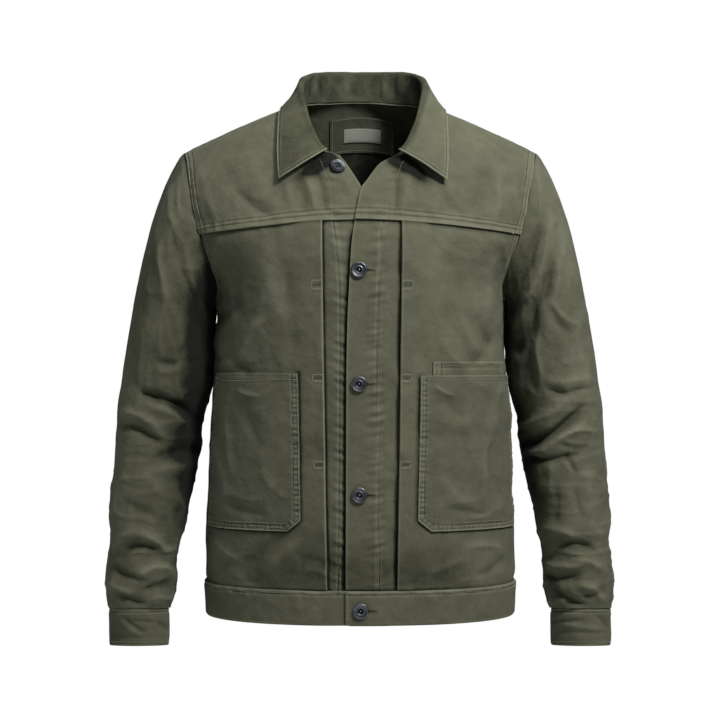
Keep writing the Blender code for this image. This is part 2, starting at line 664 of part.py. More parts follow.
def sleeve_skin(side, turns):
    """Outer skin of a sleeve, rows from the armhole to the cuff."""
    start = armhole_loop(side, turns)
    lead = np.stack([curve(CAP_LEAD[:, 0], CAP_LEAD[:, column], np.asarray(turns) % 360)
                     for column in (1, 2, 3)], axis=-1)
    lead = unit(lead) * np.array([side, 1.0, 1.0])
    first = sleeve_ring(side, SLEEVE[0, 0], turns)
    onward = unit(sleeve_ring(side, SLEEVE[1, 0], turns) - first)
    reach = np.linalg.norm(first - start, axis=1, keepdims=True)
    rows = []
    for t in np.linspace(0, 1, CAP_ROWS)[:-1]:
        rows.append((1 + 2 * t) * (1 - t) ** 2 * start + t * t * (3 - 2 * t) * first
                    + t * (1 - t) ** 2 * 0.55 * reach * lead
                    - t * t * (1 - t) * 0.9 * reach * onward)
    levels = SLEEVE[:, 0]
    for level in levels:
        ring = sleeve_ring(side, level, turns)
        spokes = ring - np.array([side * curve(-levels, SLEEVE[:, 1], -level),
                                  curve(-levels, SLEEVE[:, 3], -level), level])
        rows.append(ring + unit(spokes) * fold_height(side, level, turns)[:, None])
    return np.array(rows)


def sleeve_piece(name, side, start, stop, finish):
    clear = 0.2                      # degrees that open the seam by about GAP
    turns = np.linspace(start + clear, stop - clear, round((stop - start) / 360 * ARM_RING) + 1)
    step = turns[1] - turns[0]
    beyond = np.concatenate([[start - step], turns, [stop + step]])
    outer = sleeve_skin(side, beyond)
    inner = inner_skin(outer, WALL, side)
    over = ramp(np.cos(np.radians(beyond)), -0.2, 0.4)[:, None]
    inner[0] = over * armhole_loop(side, beyond, WALL) + (1 - over) * inner[0]
    return wall(name, outer[:, 1:-1], inner[:, 1:-1], finish)


def cuff(name, side, finish):
    """A band whose ends overlap behind the wrist."""
    stop = CUFF_LAP_START + 360 + CUFF_LAP
    turns = np.linspace(CUFF_LAP_START, stop, 29)
    over = 1.6 * ramp(turns, CUFF_LAP_START + CUFF_LAP + 22, CUFF_LAP_START + CUFF_LAP)
    under = -1.4 * ramp(turns, stop - CUFF_LAP - 22, stop - CUFF_LAP)
    outer, inner = [], []
    for level, grow in ((CUFF_TOP, 0.0), (CUFF_TOP - 8.0, 0.7), (CUFF_BOTTOM + 6.0, 0.2),
                        (CUFF_BOTTOM, -0.3)):
        for skin, depth in ((outer, 0.0), (inner, CUFF_WALL)):
            reach = grow + over + under - depth
            turn = np.radians(turns)
            x = side * (CUFF_CENTRE[0] + (CUFF_HALF[0] + reach) * np.cos(turn))
            y = CUFF_CENTRE[1] - (CUFF_HALF[1] + reach) * np.sin(turn)
            skin.append(np.stack([x, y, np.full(len(turn), level)], axis=-1))
    return wall(name, np.array(outer), np.array(inner), finish)


# ---------------------------------------------------------------- pockets, patch and label
def panel_out(side, across, height):
    """Outer face of the lower front beside its pleat."""
    fold = curve(*PLEAT_FOLD[side].T, height)
    table = PLEAT[9:]
    far = np.append(table[:, 0], 60.0)
    rise = np.append(table[:, 1], 0.0)
    return curve(far, rise, across - fold) - pressed(height)


def pocket(side, finish):
    shape = POCKET[side]
    cut_across, cut_up = POCKET_CUT
    heights = np.concatenate([[POCKET_BOTTOM, POCKET_BOTTOM + cut_up],
                              np.linspace(POCKET_BOTTOM + 30, POCKET_TOP - POCKET_HEM - 2, 6),
                              [POCKET_TOP - POCKET_HEM, POCKET_TOP - 9, POCKET_TOP]])
    outer, inner = [], []
    for height in heights:
        up = (height - POCKET_BOTTOM) / (POCKET_TOP - POCKET_BOTTOM)
        top, bottom = shape["inner"]
        start = bottom + (top - bottom) * up
        start += cut_across * np.clip(1 - (height - POCKET_BOTTOM) / cut_up, 0, 1)
        first = float(angle_at(start, height))
        angles = np.linspace(first, shape["outer"], 10)
        across = power(np.sin(np.radians(angles)), SQUARE) * curve(*SECTIONS[:, :2].T, height)
        share = np.linspace(0, 1, 10)
        belly = np.sin(pi * share) ** 0.8
        gape = POCKET_GAPE * belly * ramp(height, POCKET_TOP - 90, POCKET_TOP)
        slack = 1.6 * belly * ramp(height, POCKET_BOTTOM, POCKET_BOTTOM + 40)
        tool = 0.0
        if side == LEFT:
            tool = 2.0 * ramp(height, TOOL_BOTTOM - 30, TOOL_BOTTOM - 8)
        hem = 1.3 if height >= POCKET_TOP - POCKET_HEM else 0.0
        base = panel_out(side, across, height) + GAP + 0.05 + gape + slack + tool
        outer.append(torso(side * angles, height, base + WALL + hem))
        inner.append(torso(side * angles, height, base))
    return wall(f"pocket_{'left' if side == LEFT else 'right'}",
                np.array(outer), np.array(inner), finish)


def pocket_tool(finish):
    inner_edge, outer_edge = TOOL_ACROSS
    outer, inner = [], []
    for height in np.array([TOOL_BOTTOM, -125.0, POCKET_TOP, -94.0, TOOL_TOP]):
        angles = np.linspace(float(angle_at(inner_edge, height)), outer_edge, 8)
        across = power(np.sin(np.radians(angles)), SQUARE) * curve(*SECTIONS[:, :2].T, height)
        base = panel_out(LEFT, across, height) + GAP + 0.25
        outer.append(torso(angles, height, base + WALL))
        inner.append(torso(angles, height, base))
    return wall("pocket_tool", np.array(outer), np.array(inner), finish)


def inside_patch(name, width, top, bottom, depth, thickness, finish):
    """A flat piece on the inner face of the back yoke, `depth` inside the body surface."""
    heights = np.linspace(bottom, top, 4)
    across = np.linspace(-width / 2, width / 2, 7) + PATCH_CENTRE
    outer, inner = [], []
    for height in heights:
        angles = 180 - angle_at(across, height)
        outer.append(torso(angles, height, -depth))
        inner.append(torso(angles, height, -depth - thickness))
    return wall(name, np.array(outer), np.array(inner), finish)


# ---------------------------------------------------------------- buttons
def button(name, radius, seat, axis, finish):
    """A metal button: raised rim, dished face and a small centre boss."""
    profile = [(0, 0), (0.75 * radius, 0), (radius, 1.2), (0.96 * radius, 2.3),
               (0.55 * radius, 3.2), (0.34 * radius, 2.7), (0.28 * radius, 1.6), (0, 1.9)]
    return turned(name, profile, seat, axis, finish)


def front_button(index, finish):
    level, x = BUTTONS[index]
    side = RIGHT if index == 0 else LEFT
    heights = np.linspace(HEM_HEIGHT, RIDGE_HEIGHT, 2000)
    angles = angle_at(x, heights)
    height = float(np.interp(level, torso_point(angles, heights)[:, 2], heights))
    angle = float(angle_at(x, height))
    if height < BAND_TOP:
        out = BAND_OUT + BAND_OVER
    elif height < YOKE_SEAM:
        out = float(front_out(side, side * x, height))
    else:
        out = float(yoke_out(side, side * x, height))

    def skin(turn, rise):
        if index:
            return torso(turn, rise, out)
        across = side * power(np.sin(np.radians(turn)), SQUARE) * curve(*SECTIONS[:, :2].T, rise)
        return torso(turn, rise, yoke_out(side, across, rise))

    axis = unit(np.cross(skin(angle + 1, height) - skin(angle - 1, height),
                         skin(angle, height + 3) - skin(angle, height - 3)))
    seat = skin(angle, height) + axis * (GAP + 0.35)
    return button(f"button_{index + 1}", BUTTON_RADIUS, seat, axis, finish)


def cuff_button(name, side, finish):
    turn = np.radians(CUFF_LAP_START + CUFF_LAP / 2)
    reach = 1.6 + GAP + 0.5
    level = (CUFF_TOP + CUFF_BOTTOM) / 2
    seat = np.array([side * (CUFF_CENTRE[0] + (CUFF_HALF[0] + reach) * np.cos(turn)),
                     CUFF_CENTRE[1] - (CUFF_HALF[1] + reach) * np.sin(turn), level])
    axis = np.array([side * np.cos(turn) / CUFF_HALF[0], -np.sin(turn) / CUFF_HALF[1], 0.0])
    return button(name, CUFF_BUTTON_RADIUS, seat, axis, finish)


# ---------------------------------------------------------------- the whole overshirt
def build():
    for old in list(bpy.data.objects):
        bpy.data.objects.remove(old, do_unlink=True)

    for side, word in ((LEFT, "left"), (RIGHT, "right")):
        front_panel(side, twill(f"twill_front_{word}"))
        yoke_front(side, twill(f"twill_yoke_{word}", 1.05))
        band_piece(f"waistband_{word}", side, twill(f"twill_band_{word}", 0.95))
        sleeve_piece(f"sleeve_upper_{word}", side, SEAM_ELBOW - 360, SEAM_UNDER,
                     twill(f"twill_sleeve_upper_{word}", 0.9))
        sleeve_piece(f"sleeve_under_{word}", side, SEAM_UNDER, SEAM_ELBOW,
                     twill(f"twill_sleeve_under_{word}", 0.85))
        cuff(f"cuff_{word}", side, twill(f"twill_cuff_{word}", 0.95))
        pocket(side, twill(f"twill_pocket_{word}", 0.9))
        cuff_button(f"button_cuff_{word}", side,
                    material(f"gunmetal_cuff_{word}", (0.045, 0.05, 0.055), 0.35, 0.85))
    back_panel(twill("twill_back"))
    yoke_back(twill("twill_yoke_back", 1.05))
    band_piece("waistband_back", 0, twill("twill_band_back", 0.95))
    collar(twill("twill_collar", 1.1))
    pocket_tool(twill("twill_pocket_tool", 0.95))
    inside_patch("neck_patch", PATCH_WIDTH, PATCH_TOP, PATCH_BOTTOM, PATCH_SINK, PATCH_WALL,
                 twill("twill_patch", 0.7))
    inside_patch("neck_label", LABEL_WIDTH, LABEL_TOP, LABEL_BOTTOM,
                 PATCH_SINK + PATCH_WALL + 0.6, PATCH_WALL,
                 material("label_weave", (0.33, 0.30, 0.24), 0.8))
    for index in range(len(BUTTONS)):
        front_button(index, material(f"gunmetal_{index + 1}", (0.045, 0.05, 0.055), 0.35, 0.85))


build()
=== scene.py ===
import math

import bpy
import numpy as np
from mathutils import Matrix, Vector
from mathutils.bvhtree import BVHTree
from mathutils.kdtree import KDTree


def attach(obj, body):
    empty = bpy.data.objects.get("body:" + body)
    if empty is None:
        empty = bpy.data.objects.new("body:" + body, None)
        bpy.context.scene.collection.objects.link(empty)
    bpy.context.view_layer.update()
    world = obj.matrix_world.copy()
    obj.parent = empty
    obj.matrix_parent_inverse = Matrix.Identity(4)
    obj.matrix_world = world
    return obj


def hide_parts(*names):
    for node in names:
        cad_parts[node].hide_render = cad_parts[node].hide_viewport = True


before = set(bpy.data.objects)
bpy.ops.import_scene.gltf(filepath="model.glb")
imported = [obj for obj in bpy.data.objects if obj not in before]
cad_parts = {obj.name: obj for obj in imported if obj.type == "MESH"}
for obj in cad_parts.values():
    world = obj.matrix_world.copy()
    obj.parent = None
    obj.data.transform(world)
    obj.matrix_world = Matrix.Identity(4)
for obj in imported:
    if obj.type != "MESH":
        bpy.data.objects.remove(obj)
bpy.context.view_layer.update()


# ------------------------------------------------------------------ studio
# A plain room for the overshirt: white all round, a pale floor below the hem, and a long lens
# straight in front of the chest.  A broad soft lamp hangs high at the front on the wearer's left,
# one above, and a weak one beside the right sleeve.
scene = bpy.context.scene
scene.view_settings.view_transform = "Standard"

VIEW_DISTANCE = 2.3           # metres from the camera to the plane through the origin
VIEW_WIDTH = 0.936            # metres that the photo shows there: 720 steps of 1.3 mm
photo_camera = bpy.data.objects.new("photo_camera", bpy.data.cameras.new("photo_camera"))
photo_camera.data.sensor_width = 36.0
photo_camera.data.lens = 36.0 * VIEW_DISTANCE / VIEW_WIDTH
photo_camera.location = (0.0, -VIEW_DISTANCE, -0.3185)
photo_camera.rotation_euler = (math.radians(90), 0.0, 0.0)
scene.collection.objects.link(photo_camera)
scene.camera = photo_camera


def soft_lamp(name, place, aim, size, watts, tint=(1.0, 1.0, 1.0)):
    lamp = bpy.data.objects.new(name, bpy.data.lights.new(name, "AREA"))
    lamp.data.shape = "DISK"
    lamp.data.size = size
    lamp.data.energy = watts
    lamp.data.color = tint
    lamp.location = place
    lamp.rotation_euler = (Vector(aim) - Vector(place)).to_track_quat("-Z", "Y").to_euler()
    scene.collection.objects.link(lamp)


soft_lamp("key_lamp", (1.40, -1.68, 1.75), (0.0, 0.0, -0.3), 0.60, 92.0)
soft_lamp("top_lamp", (0.1, -0.9, 2.0), (0.0, 0.0, -0.3), 0.8, 20.0)
soft_lamp("side_lamp", (-1.5, -0.3, -0.5), (0.0, 0.0, -0.35), 0.8, 2.9)

room = bpy.data.worlds.new("white_room")
scene.world = room
room.use_nodes = True
room_nodes = room.node_tree.nodes
room_light = room_nodes["Background"]
room_light.inputs["Color"].default_value = (1.0, 1.0, 0.97, 1.0)
room_light.inputs["Strength"].default_value = 0.075
room_seen = room_nodes.new("ShaderNodeBackground")
room_seen.inputs["Color"].default_value = (1.0, 1.0, 1.0, 1.0)
room_seen.inputs["Strength"].default_value = 1.0
room_ray = room_nodes.new("ShaderNodeLightPath")
room_mix = room_nodes.new("ShaderNodeMixShader")
room.node_tree.links.new(room_ray.outputs["Is Camera Ray"], room_mix.inputs["Fac"])
room.node_tree.links.new(room_light.outputs[0], room_mix.inputs[1])
room.node_tree.links.new(room_seen.outputs[0], room_mix.inputs[2])
room.node_tree.links.new(room_mix.outputs[0], room_nodes["World Output"].inputs["Surface"])

bpy.ops.object.select_all(action="DESELECT")
bpy.ops.mesh.primitive_circle_add(vertices=96, radius=2.6, fill_type="NGON", location=(0, 0, -1.45))
floor = bpy.context.object
floor.name = "floor"
floor_finish = bpy.data.materials.new("pale_floor")
floor_finish.use_nodes = True
floor_shader = floor_finish.node_tree.nodes["Principled BSDF"]
floor_shader.inputs["Base Color"].default_value = (0.82, 0.82, 0.82, 1.0)
floor_shader.inputs["Roughness"].default_value = 0.9
floor.data.materials.append(floor_finish)


# ------------------------------------------------------------------ back panel
# The plain back, one piece of olive cotton twill between the side seams, from the waistband up to
# the yoke.  The smooth surface that the whole body is cut on is worked out here, and the creases
# that a worn garment keeps are laid over it.
MM = 0.001
WALL = 1.3                    # one layer of twill, millimetres as all sizes below
SEAM = 0.15                   # each piece stops this far short of its seam
LEFT, RIGHT = 1, -1           # the wearer's left is at +X
SIDES = ((LEFT, "left"), (RIGHT, "right"))
ARMPIT_Z = -235.0
RIDGE_Z = 16.0
RIDGE_HEIGHT = 308.0          # the shoulder ridge, measured up the cloth from the armpit line
BAND_TOP = -367.0
YOKE_SEAM = 68.6
BACK_YOKE_SEAM = 89.0
SHOULDER_SEAM = 296.0
SHOULDER_SLOPE = 0.48
SHOULDER_BEND = 60.0
NECK_HALF = 78.0
NAPE_DEPTH = 44.0
NAPE_SPREAD = 78.0
SQUARE = 2 / 2.3
UNDERARM = -10.0
SIDE_RADIUS = 150.0           # of the body's bend beside the arm
SIDE_ROWS = (2.0, 8.0)        # rows of topstitching, by their distance from the seam
ARMHOLE_ROWS = (2.4, 9.5)
BODY_SECTIONS = np.array([    # height, half width, depth in front, depth behind
    (-410.0, 197.5, 128.0, 118.0), (-365.0, 199.5, 130.0, 118.0), (-305.0, 200.0, 131.0, 115.0),
    (-195.0, 194.0, 133.0, 111.0), (-135.0, 190.5, 133.5, 112.5), (-83.0, 188.0, 133.5, 118.0),
    (0.0, 186.0, 132.0, 126.0), (68.6, 226.0, 132.0, 126.0), (119.0, 236.0, 132.0, 126.0),
    (200.0, 240.0, 132.0, 126.0), (308.0, 241.0, 132.0, 126.0),
])
ARMHOLE = np.array([          # height, degrees from the centre line
    (-10.0, 90.0), (-4.0, 81.5), (4.0, 75.0), (20.0, 70.2), (45.0, 63.9), (68.6, 61.3),
    (119.0, 62.7), (200.0, 66.1), (308.0, 70.5),
])


def curve(xs, ys, at):
    """Smooth curve through the points, never beyond them, level past its ends."""
    xs, ys = np.asarray(xs, float), np.asarray(ys, float)
    step = np.diff(xs)
    slope = np.diff(ys) / step
    tangent = np.zeros(len(xs))
    tangent[0], tangent[-1] = slope[0], slope[-1]
    product = slope[:-1] * slope[1:]
    total = np.where(product > 0, slope[:-1] + slope[1:], 1.0)
    tangent[1:-1] = np.where(product > 0, 2 * product / total, 0.0)
    at = np.clip(np.asarray(at, float), xs[0], xs[-1])
    i = np.clip(np.searchsorted(xs, at, side="right") - 1, 0, len(step) - 1)
    t = (at - xs[i]) / step[i]
    return ((1 + 2 * t) * (1 - t) ** 2 * ys[i] + t * (1 - t) ** 2 * step[i] * tangent[i]
            + t * t * (3 - 2 * t) * ys[i + 1] + t * t * (t - 1) * step[i] * tangent[i + 1])


def ramp(at, low, high):
    """0 below low, 1 above high, smooth between; low may be the larger."""
    t = np.clip((np.asarray(at, float) - low) / (high - low), 0, 1)
    return t * t * (3 - 2 * t)


def bump(at, middle, half):
    return np.exp(-((np.asarray(at, float) - middle) / half) ** 2)


def power(value, exponent):
    return np.sign(value) * np.abs(value) ** exponent


def unit(vectors):
    return vectors / np.maximum(np.linalg.norm(vectors, axis=-1, keepdims=True), 1e-9)


def torso_point(angle, height):
    angle, height = np.broadcast_arrays(np.asarray(angle, float), np.asarray(height, float))
    over = (np.abs(angle) > 90) & (height > RIDGE_HEIGHT)
    angle = np.where(over, np.sign(angle) * (180 - np.abs(angle)), angle)
    height = np.where(over, 2 * RIDGE_HEIGHT - height, height)
    rise = np.clip(height, 0, None) / RIDGE_HEIGHT * math.pi / 2
    across = power(np.sin(np.radians(angle)), SQUARE)
    forward = power(np.cos(np.radians(angle)), SQUARE)
    x = curve(BODY_SECTIONS[:, 0], BODY_SECTIONS[:, 1], height) * across
    climb = RIDGE_Z - ARMPIT_Z
    level = ARMPIT_Z + np.minimum(height, 0) + climb * np.sin(rise)
    lean = np.clip((level - ARMPIT_Z) / climb, 0, 1) ** 1.5
    z = level - SHOULDER_SLOPE * lean * (np.hypot(x, SHOULDER_BEND)
                                         - math.hypot(NECK_HALF, SHOULDER_BEND))
    front = curve(BODY_SECTIONS[:, 0], BODY_SECTIONS[:, 2], height) * np.cos(rise)
    back = (curve(BODY_SECTIONS[:, 0], BODY_SECTIONS[:, 3], height)
            * power(np.maximum(np.cos(rise), 0.0), 0.7))
    nape = NAPE_DEPTH * np.exp(-(x / NAPE_SPREAD) ** 2)
    y = np.where(forward > 0, nape * np.sin(rise) ** 20 - front * forward,
                 nape * np.sin(rise) ** 6 - back * forward)
    return np.stack([x, y, z], axis=-1)


def torso(angle, height, out=0.0):
    """A point of the body surface moved out along its normal."""
    angle, height = np.broadcast_arrays(np.asarray(angle, float), np.asarray(height, float))
    across = torso_point(angle + 0.2, height) - torso_point(angle - 0.2, height)
    up = torso_point(angle, height + 0.5) - torso_point(angle, height - 0.5)
    normal = unit(np.cross(across, up))
    return torso_point(angle, height) + normal * np.asarray(out, float)[..., None]


def half_width(height):
    return curve(BODY_SECTIONS[:, 0], BODY_SECTIONS[:, 1], height)


def angle_at(x, height):
    share = np.clip(np.abs(x) / half_width(height), 0, 1) ** (1 / SQUARE)
    return np.sign(x) * np.degrees(np.arcsin(share))


def across_at(angle, height):
    return power(np.sin(np.radians(angle)), SQUARE) * half_width(height)


def armhole_angle(height):
    return np.where(np.asarray(height) <= UNDERARM, 90.0,
                    curve(ARMHOLE[:, 0], ARMHOLE[:, 1], height))


def mottle(points, pitch, seed):
    """Smooth random heights between -1 and 1, about one bump for each pitch of cloth."""
    grain = np.random.default_rng(seed).uniform(-1, 1, (32, 32, 32))
    place = np.asarray(points, float) / pitch
    cell = np.floor(place).astype(int)
    part = place - cell
    part = part * part * (3 - 2 * part)
    total = 0.0
    for corner in np.ndindex(2, 2, 2):
        weight = 1.0
        for axis in range(3):
            weight = weight * (part[..., axis] if corner[axis] else 1 - part[..., axis])
        i, j, k = ((cell[..., axis] + corner[axis]) % 32 for axis in range(3))
        total = total + weight * grain[i, j, k]
    return total


def crinkle(points, pitch, seed):
    """Thin crisp ridges that wander over rumpled cloth."""
    return np.clip(1 - 2.4 * np.abs(mottle(points, pitch, seed)), 0, 1) ** 2


def view_place(points):
    """Where points lie when seen from the front: steps of 1.3 mm across and down."""
    reach = 1.3 * (2300 + points[..., 1]) / 2300
    return 360.5 + points[..., 0] / reach, 360 - (points[..., 2] + 318.5) / reach


def creases(across, down, rows):
    """Heights of listed creases: soft ridges, or troughs where rise is negative."""
    height = np.zeros(np.shape(across))
    for a0, d0, a1, d1, bow, half, rise, skew in rows:
        length = math.hypot(a1 - a0, d1 - d0)
        along, beside = (a1 - a0) / length, (d1 - d0) / length
        part = ((across - a0) * along + (down - d0) * beside) / length
        off = (down - d0) * along - (across - a0) * beside - bow * 4 * part * (1 - part)
        width = half * (1 + skew * np.sign(off))
        taper = ramp(part, -0.18, 0.25) * ramp(part, 1.18, 0.75)
        sharp = np.exp(-1.7 * (np.sqrt((off / width) ** 2 + 0.04) - 0.2))
        height += rise * taper * (0.45 * np.exp(-(off / width) ** 2) + 0.55 * sharp)
    return height


FRONT_CREASES = (
    # across, down, to across, to down, bow, half width, rise, skew
    (219, 240, 216, 300, 2, 5.0, 1.3, 0.3), (226, 262, 231, 326, -2, 5.0, 1.0, 0.0),
    (212, 318, 240, 300, 3, 9.0, -2.2, 0.2), (238, 366, 262, 322, -4, 6.0, 1.7, -0.3),
    (212, 332, 236, 370, 3, 8.0, 1.6, 0.2), (216, 352, 250, 374, 0, 7.0, -1.6, 0.0),
    (262, 252, 292, 330, 6, 12.0, 1.3, 0.2), (286, 262, 300, 360, 3, 9.0, -1.0, 0.0),
    (504, 238, 506, 300, -2, 5.0, 1.3, -0.3), (494, 262, 488, 330, 3, 6.0, 1.2, 0.2),
    (462, 318, 480, 352, 3, 6.0, 1.8, 0.3), (474, 316, 492, 346, 2, 7.0, -1.6, 0.0),
    (430, 250, 448, 340, 6, 12.0, 1.2, 0.0), (414, 300, 426, 364, 2, 9.0, -0.9, 0.0),
    (496, 330, 470, 368, -3, 7.0, -1.4, 0.2), (440, 340, 464, 366, 2, 7.0, 1.2, 0.0),
    (212, 536, 238, 562, 2, 5.0, 1.3, 0.2), (288, 534, 240, 574, 4, 8.0, -2.0, 0.0),
    (300, 542, 262, 580, 3, 6.0, 1.2, 0.2), (300, 556, 344, 566, 2, 4.0, -0.8, 0.0),
    (304, 570, 342, 582, -2, 4.0, 0.9, 0.0), (502, 550, 470, 546, 2, 4.0, 1.1, -0.2),
    (506, 558, 478, 576, -2, 5.0, -1.6, 0.0), (462, 560, 428, 576, 2, 4.0, 1.0, 0.0),
    (224, 164, 254, 204, 3, 9.0, -0.5, 0.2), (204, 172, 218, 222, 3, 7.0, 0.8, 0.2),
    (250, 160, 286, 214, 5, 9.0, 0.6, 0.0), (288, 180, 292, 214, 0, 4.0, 0.7, 0.0),
    (302, 182, 303, 212, 0, 5.0, -0.8, 0.0), (306, 176, 316, 212, -1, 5.0, 1.2, 0.0),
    (318, 172, 327, 212, 1, 6.0, -1.6, 0.0), (236, 190, 268, 214, 2, 6.0, -1.4, 0.0),
    (515, 186, 517, 220, 0, 4.0, 1.4, 0.0), (484, 162, 470, 214, -4, 10.0, -1.9, 0.0),
    (452, 186, 430, 216, 3, 8.0, 1.4, 0.0), (500, 170, 494, 220, -2, 6.0, 1.5, 0.2),
    (414, 168, 404, 214, 2, 6.0, 1.5, 0.0), (398, 172, 396, 212, 0, 4.0, -1.4, 0.0),
    (440, 184, 458, 214, 2, 7.0, -1.2, 0.0),
    (206, 380, 214, 470, 2, 8.0, 1.2, 0.0), (512, 400, 508, 480, 2, 7.0, 1.2, 0.0),
)
BACK_CREASES = (
    (232, 235, 222, 330, 4, 9.0, 2.0, 0.2), (216, 300, 262, 372, 8, 9.0, -2.2, 0.0),
    (250, 250, 286, 360, 8, 13.0, 1.6, 0.2), (488, 235, 498, 330, -4, 9.0, 2.0, -0.2),
    (504, 304, 456, 374, -8, 9.0, -2.2, 0.0), (470, 246, 436, 352, -8, 13.0, 1.6, -0.2),
    (212, 410, 280, 470, 8, 9.0, 1.8, 0.2), (214, 450, 300, 520, 9, 10.0, -2.0, 0.0),
    (508, 418, 440, 476, -8, 9.0, 1.8, -0.2), (506, 456, 424, 526, -9, 10.0, -2.0, 0.0),
    (300, 500, 420, 516, 8, 9.0, 1.5, 0.0), (250, 548, 356, 562, 6, 7.0, 1.8, 0.2),
    (372, 556, 480, 546, 6, 7.0, 1.7, 0.2), (290, 574, 440, 572, 4, 6.0, -1.4, 0.0),
    (262, 150, 300, 206, 6, 12.0, 1.2, 0.0), (460, 150, 420, 206, -6, 12.0, 1.2, 0.0),
)


def body_relief(angle, height):
    """The creases and slight unevenness that all the body's pieces share."""
    spot = torso_point(angle, height)
    across, down = view_place(spot)
    across = across + 2.2 * mottle(spot, 26.0, 11)
    down = down + 2.2 * mottle(spot, 26.0, 12)
    facing = ramp(np.cos(np.radians(angle)), -0.15, 0.15)
    relief = facing * creases(across, down, FRONT_CREASES)
    relief = relief + (1 - facing) * creases(across, down, BACK_CREASES)
    return (2.0 * relief + 1.6 * mottle(spot, 62.0, 1) + 1.0 * mottle(spot, 27.0, 2)
            + 0.34 * mottle(spot, 11.0, 3) + 0.6 * crinkle(spot, 34.0, 4))


def from_line(points, line):
    """How far each point is from a line of points, and how far along the line it lies."""
    tree = KDTree(len(line))
    for index, place in enumerate(line):
        tree.insert(place, index)
    tree.balance()
    length = np.append(0.0, np.cumsum(np.linalg.norm(np.diff(line, axis=0), axis=1)))
    flat = np.reshape(points, (-1, 3))
    found = [tree.find(place) for place in flat]
    distance = np.array([hit[2] for hit in found])
    along = length[[hit[1] for hit in found]]
    shape = np.shape(points)[:-1]
    return distance.reshape(shape), along.reshape(shape)


def ticks(along, seed):
    """1 in the small dents that cross a roped seam about every 6 mm."""
    drift = along + 1.6 * mottle(np.stack([along, 0 * along, 0 * along], axis=-1), 16.0, seed)
    return np.exp(-(np.sin(math.pi * drift / 6.3) / 0.42) ** 2)


def sewn(distance, along, rows, seed, pucker=0.4, pitch=5.5, spread=6.0, roping=0.0):
    """Rows of topstitching pull the cloth down, and it puckers and ropes beside them."""
    relief = 0.0
    if roping:
        relief = -roping * ticks(along, seed) * bump(distance, sum(rows) / len(rows), 3.6)
    for row in rows:
        relief = relief - 0.6 * bump(distance, row, 1.2)
    middle = sum(rows) / len(rows)
    line = np.stack([along, 0.25 * distance, 0 * along], axis=-1)
    ripple = mottle(line, pitch, seed) + 0.6 * mottle(line, 0.5 * pitch, seed + 1)
    return relief + 1.6 * pucker * ripple * bump(distance, middle, spread)


def rubbed_and_groove_shade(distance, rows, along=None, seed=0, dents=0.35):
    """Paler abraded cloth at a seam's edge and beside its stitches; painted shade in its grooves
    and dents.
    """
    worn_and_shaded = 1.9 * bump(distance, 0.5, 1.7)
    for row in rows:
        worn_and_shaded = worn_and_shaded + 0.65 * bump(distance, row - 2.0, 1.1) + 0.5 * bump(distance, row + 2.0, 1.1)
        worn_and_shaded = worn_and_shaded - 0.85 * bump(distance, row, 0.8)
    if along is not None:
        middle = bump(distance, sum(rows) / len(rows), 3.2)
        worn_and_shaded = worn_and_shaded + dents * (0.3 - ticks(along, seed)) * middle
    return worn_and_shaded


def shares(length, coarse, fine, places, reach=9.0):
    """Places from 0 to 1 along a cut, close together near the places given in millimetres."""
    along = np.linspace(0.0, length, 4000)
    near = np.zeros(len(along))
    for place in places:
        near = np.maximum(near, ramp(np.abs(along - place), reach * 1.8, reach))
    density = 1 / coarse + near * (1 / fine - 1 / coarse)
    count = np.append(0.0, np.cumsum((density[1:] + density[:-1]) / 2 * (along[1] - along[0])))
    return np.interp(np.linspace(0, count[-1], int(round(count[-1])) + 1), count, along) / length


class Sock:
    """A shader value that can be written in a plain expression."""

    def __init__(self, finish, socket):
        self.finish = finish
        self.socket = socket

    def math(self, operation, *values):
        return self.finish.node("ShaderNodeMath", {"operation": operation}, list(values))

    def __add__(self, other):
        return self.math("ADD", self, other)

    def __sub__(self, other):
        return self.math("SUBTRACT", self, other)

    def __rsub__(self, other):
        return self.math("SUBTRACT", other, self)

    def __mul__(self, other):
        return self.math("MULTIPLY", self, other)

    __radd__ = __add__
    __rmul__ = __mul__


class Finish:
    """A material made of nodes, with its main shader ready."""

    def __init__(self, name, **fixed):
        self.material = bpy.data.materials.new(name)
        self.material.use_nodes = True
        self.tree = self.material.node_tree
        self.shader = self.tree.nodes["Principled BSDF"]
        for socket, value in fixed.items():
            self.shader.inputs[socket.replace("_", " ")].default_value = value

    def node(self, kind, settings=None, values=None, output=0):
        made = self.tree.nodes.new(kind)
        for key, value in (settings or {}).items():
            if key == "stops":
                ramp_stops = made.color_ramp.elements
                ramp_stops[0].position, ramp_stops[0].color = value[0]
                ramp_stops[1].position, ramp_stops[1].color = value[-1]
                for place, colour in value[1:-1]:
                    ramp_stops.new(place).color = colour
            else:
                setattr(made, key, value)
        pairs = values.items() if isinstance(values, dict) else enumerate(values or ())
        for key, value in pairs:
            if isinstance(value, Sock):
                self.tree.links.new(value.socket, made.inputs[key])
            else:
                made.inputs[key].default_value = value
        return Sock(self, made.outputs[output])

    def feed(self, socket, value):
        self.tree.links.new(value.socket, self.shader.inputs[socket])

    def mix(self, factor, first, second):
        """A blend of two colours."""
        return self.node("ShaderNodeMix", {"data_type": "RGBA"},
                         {0: factor, 6: first, 7: second}, 2)


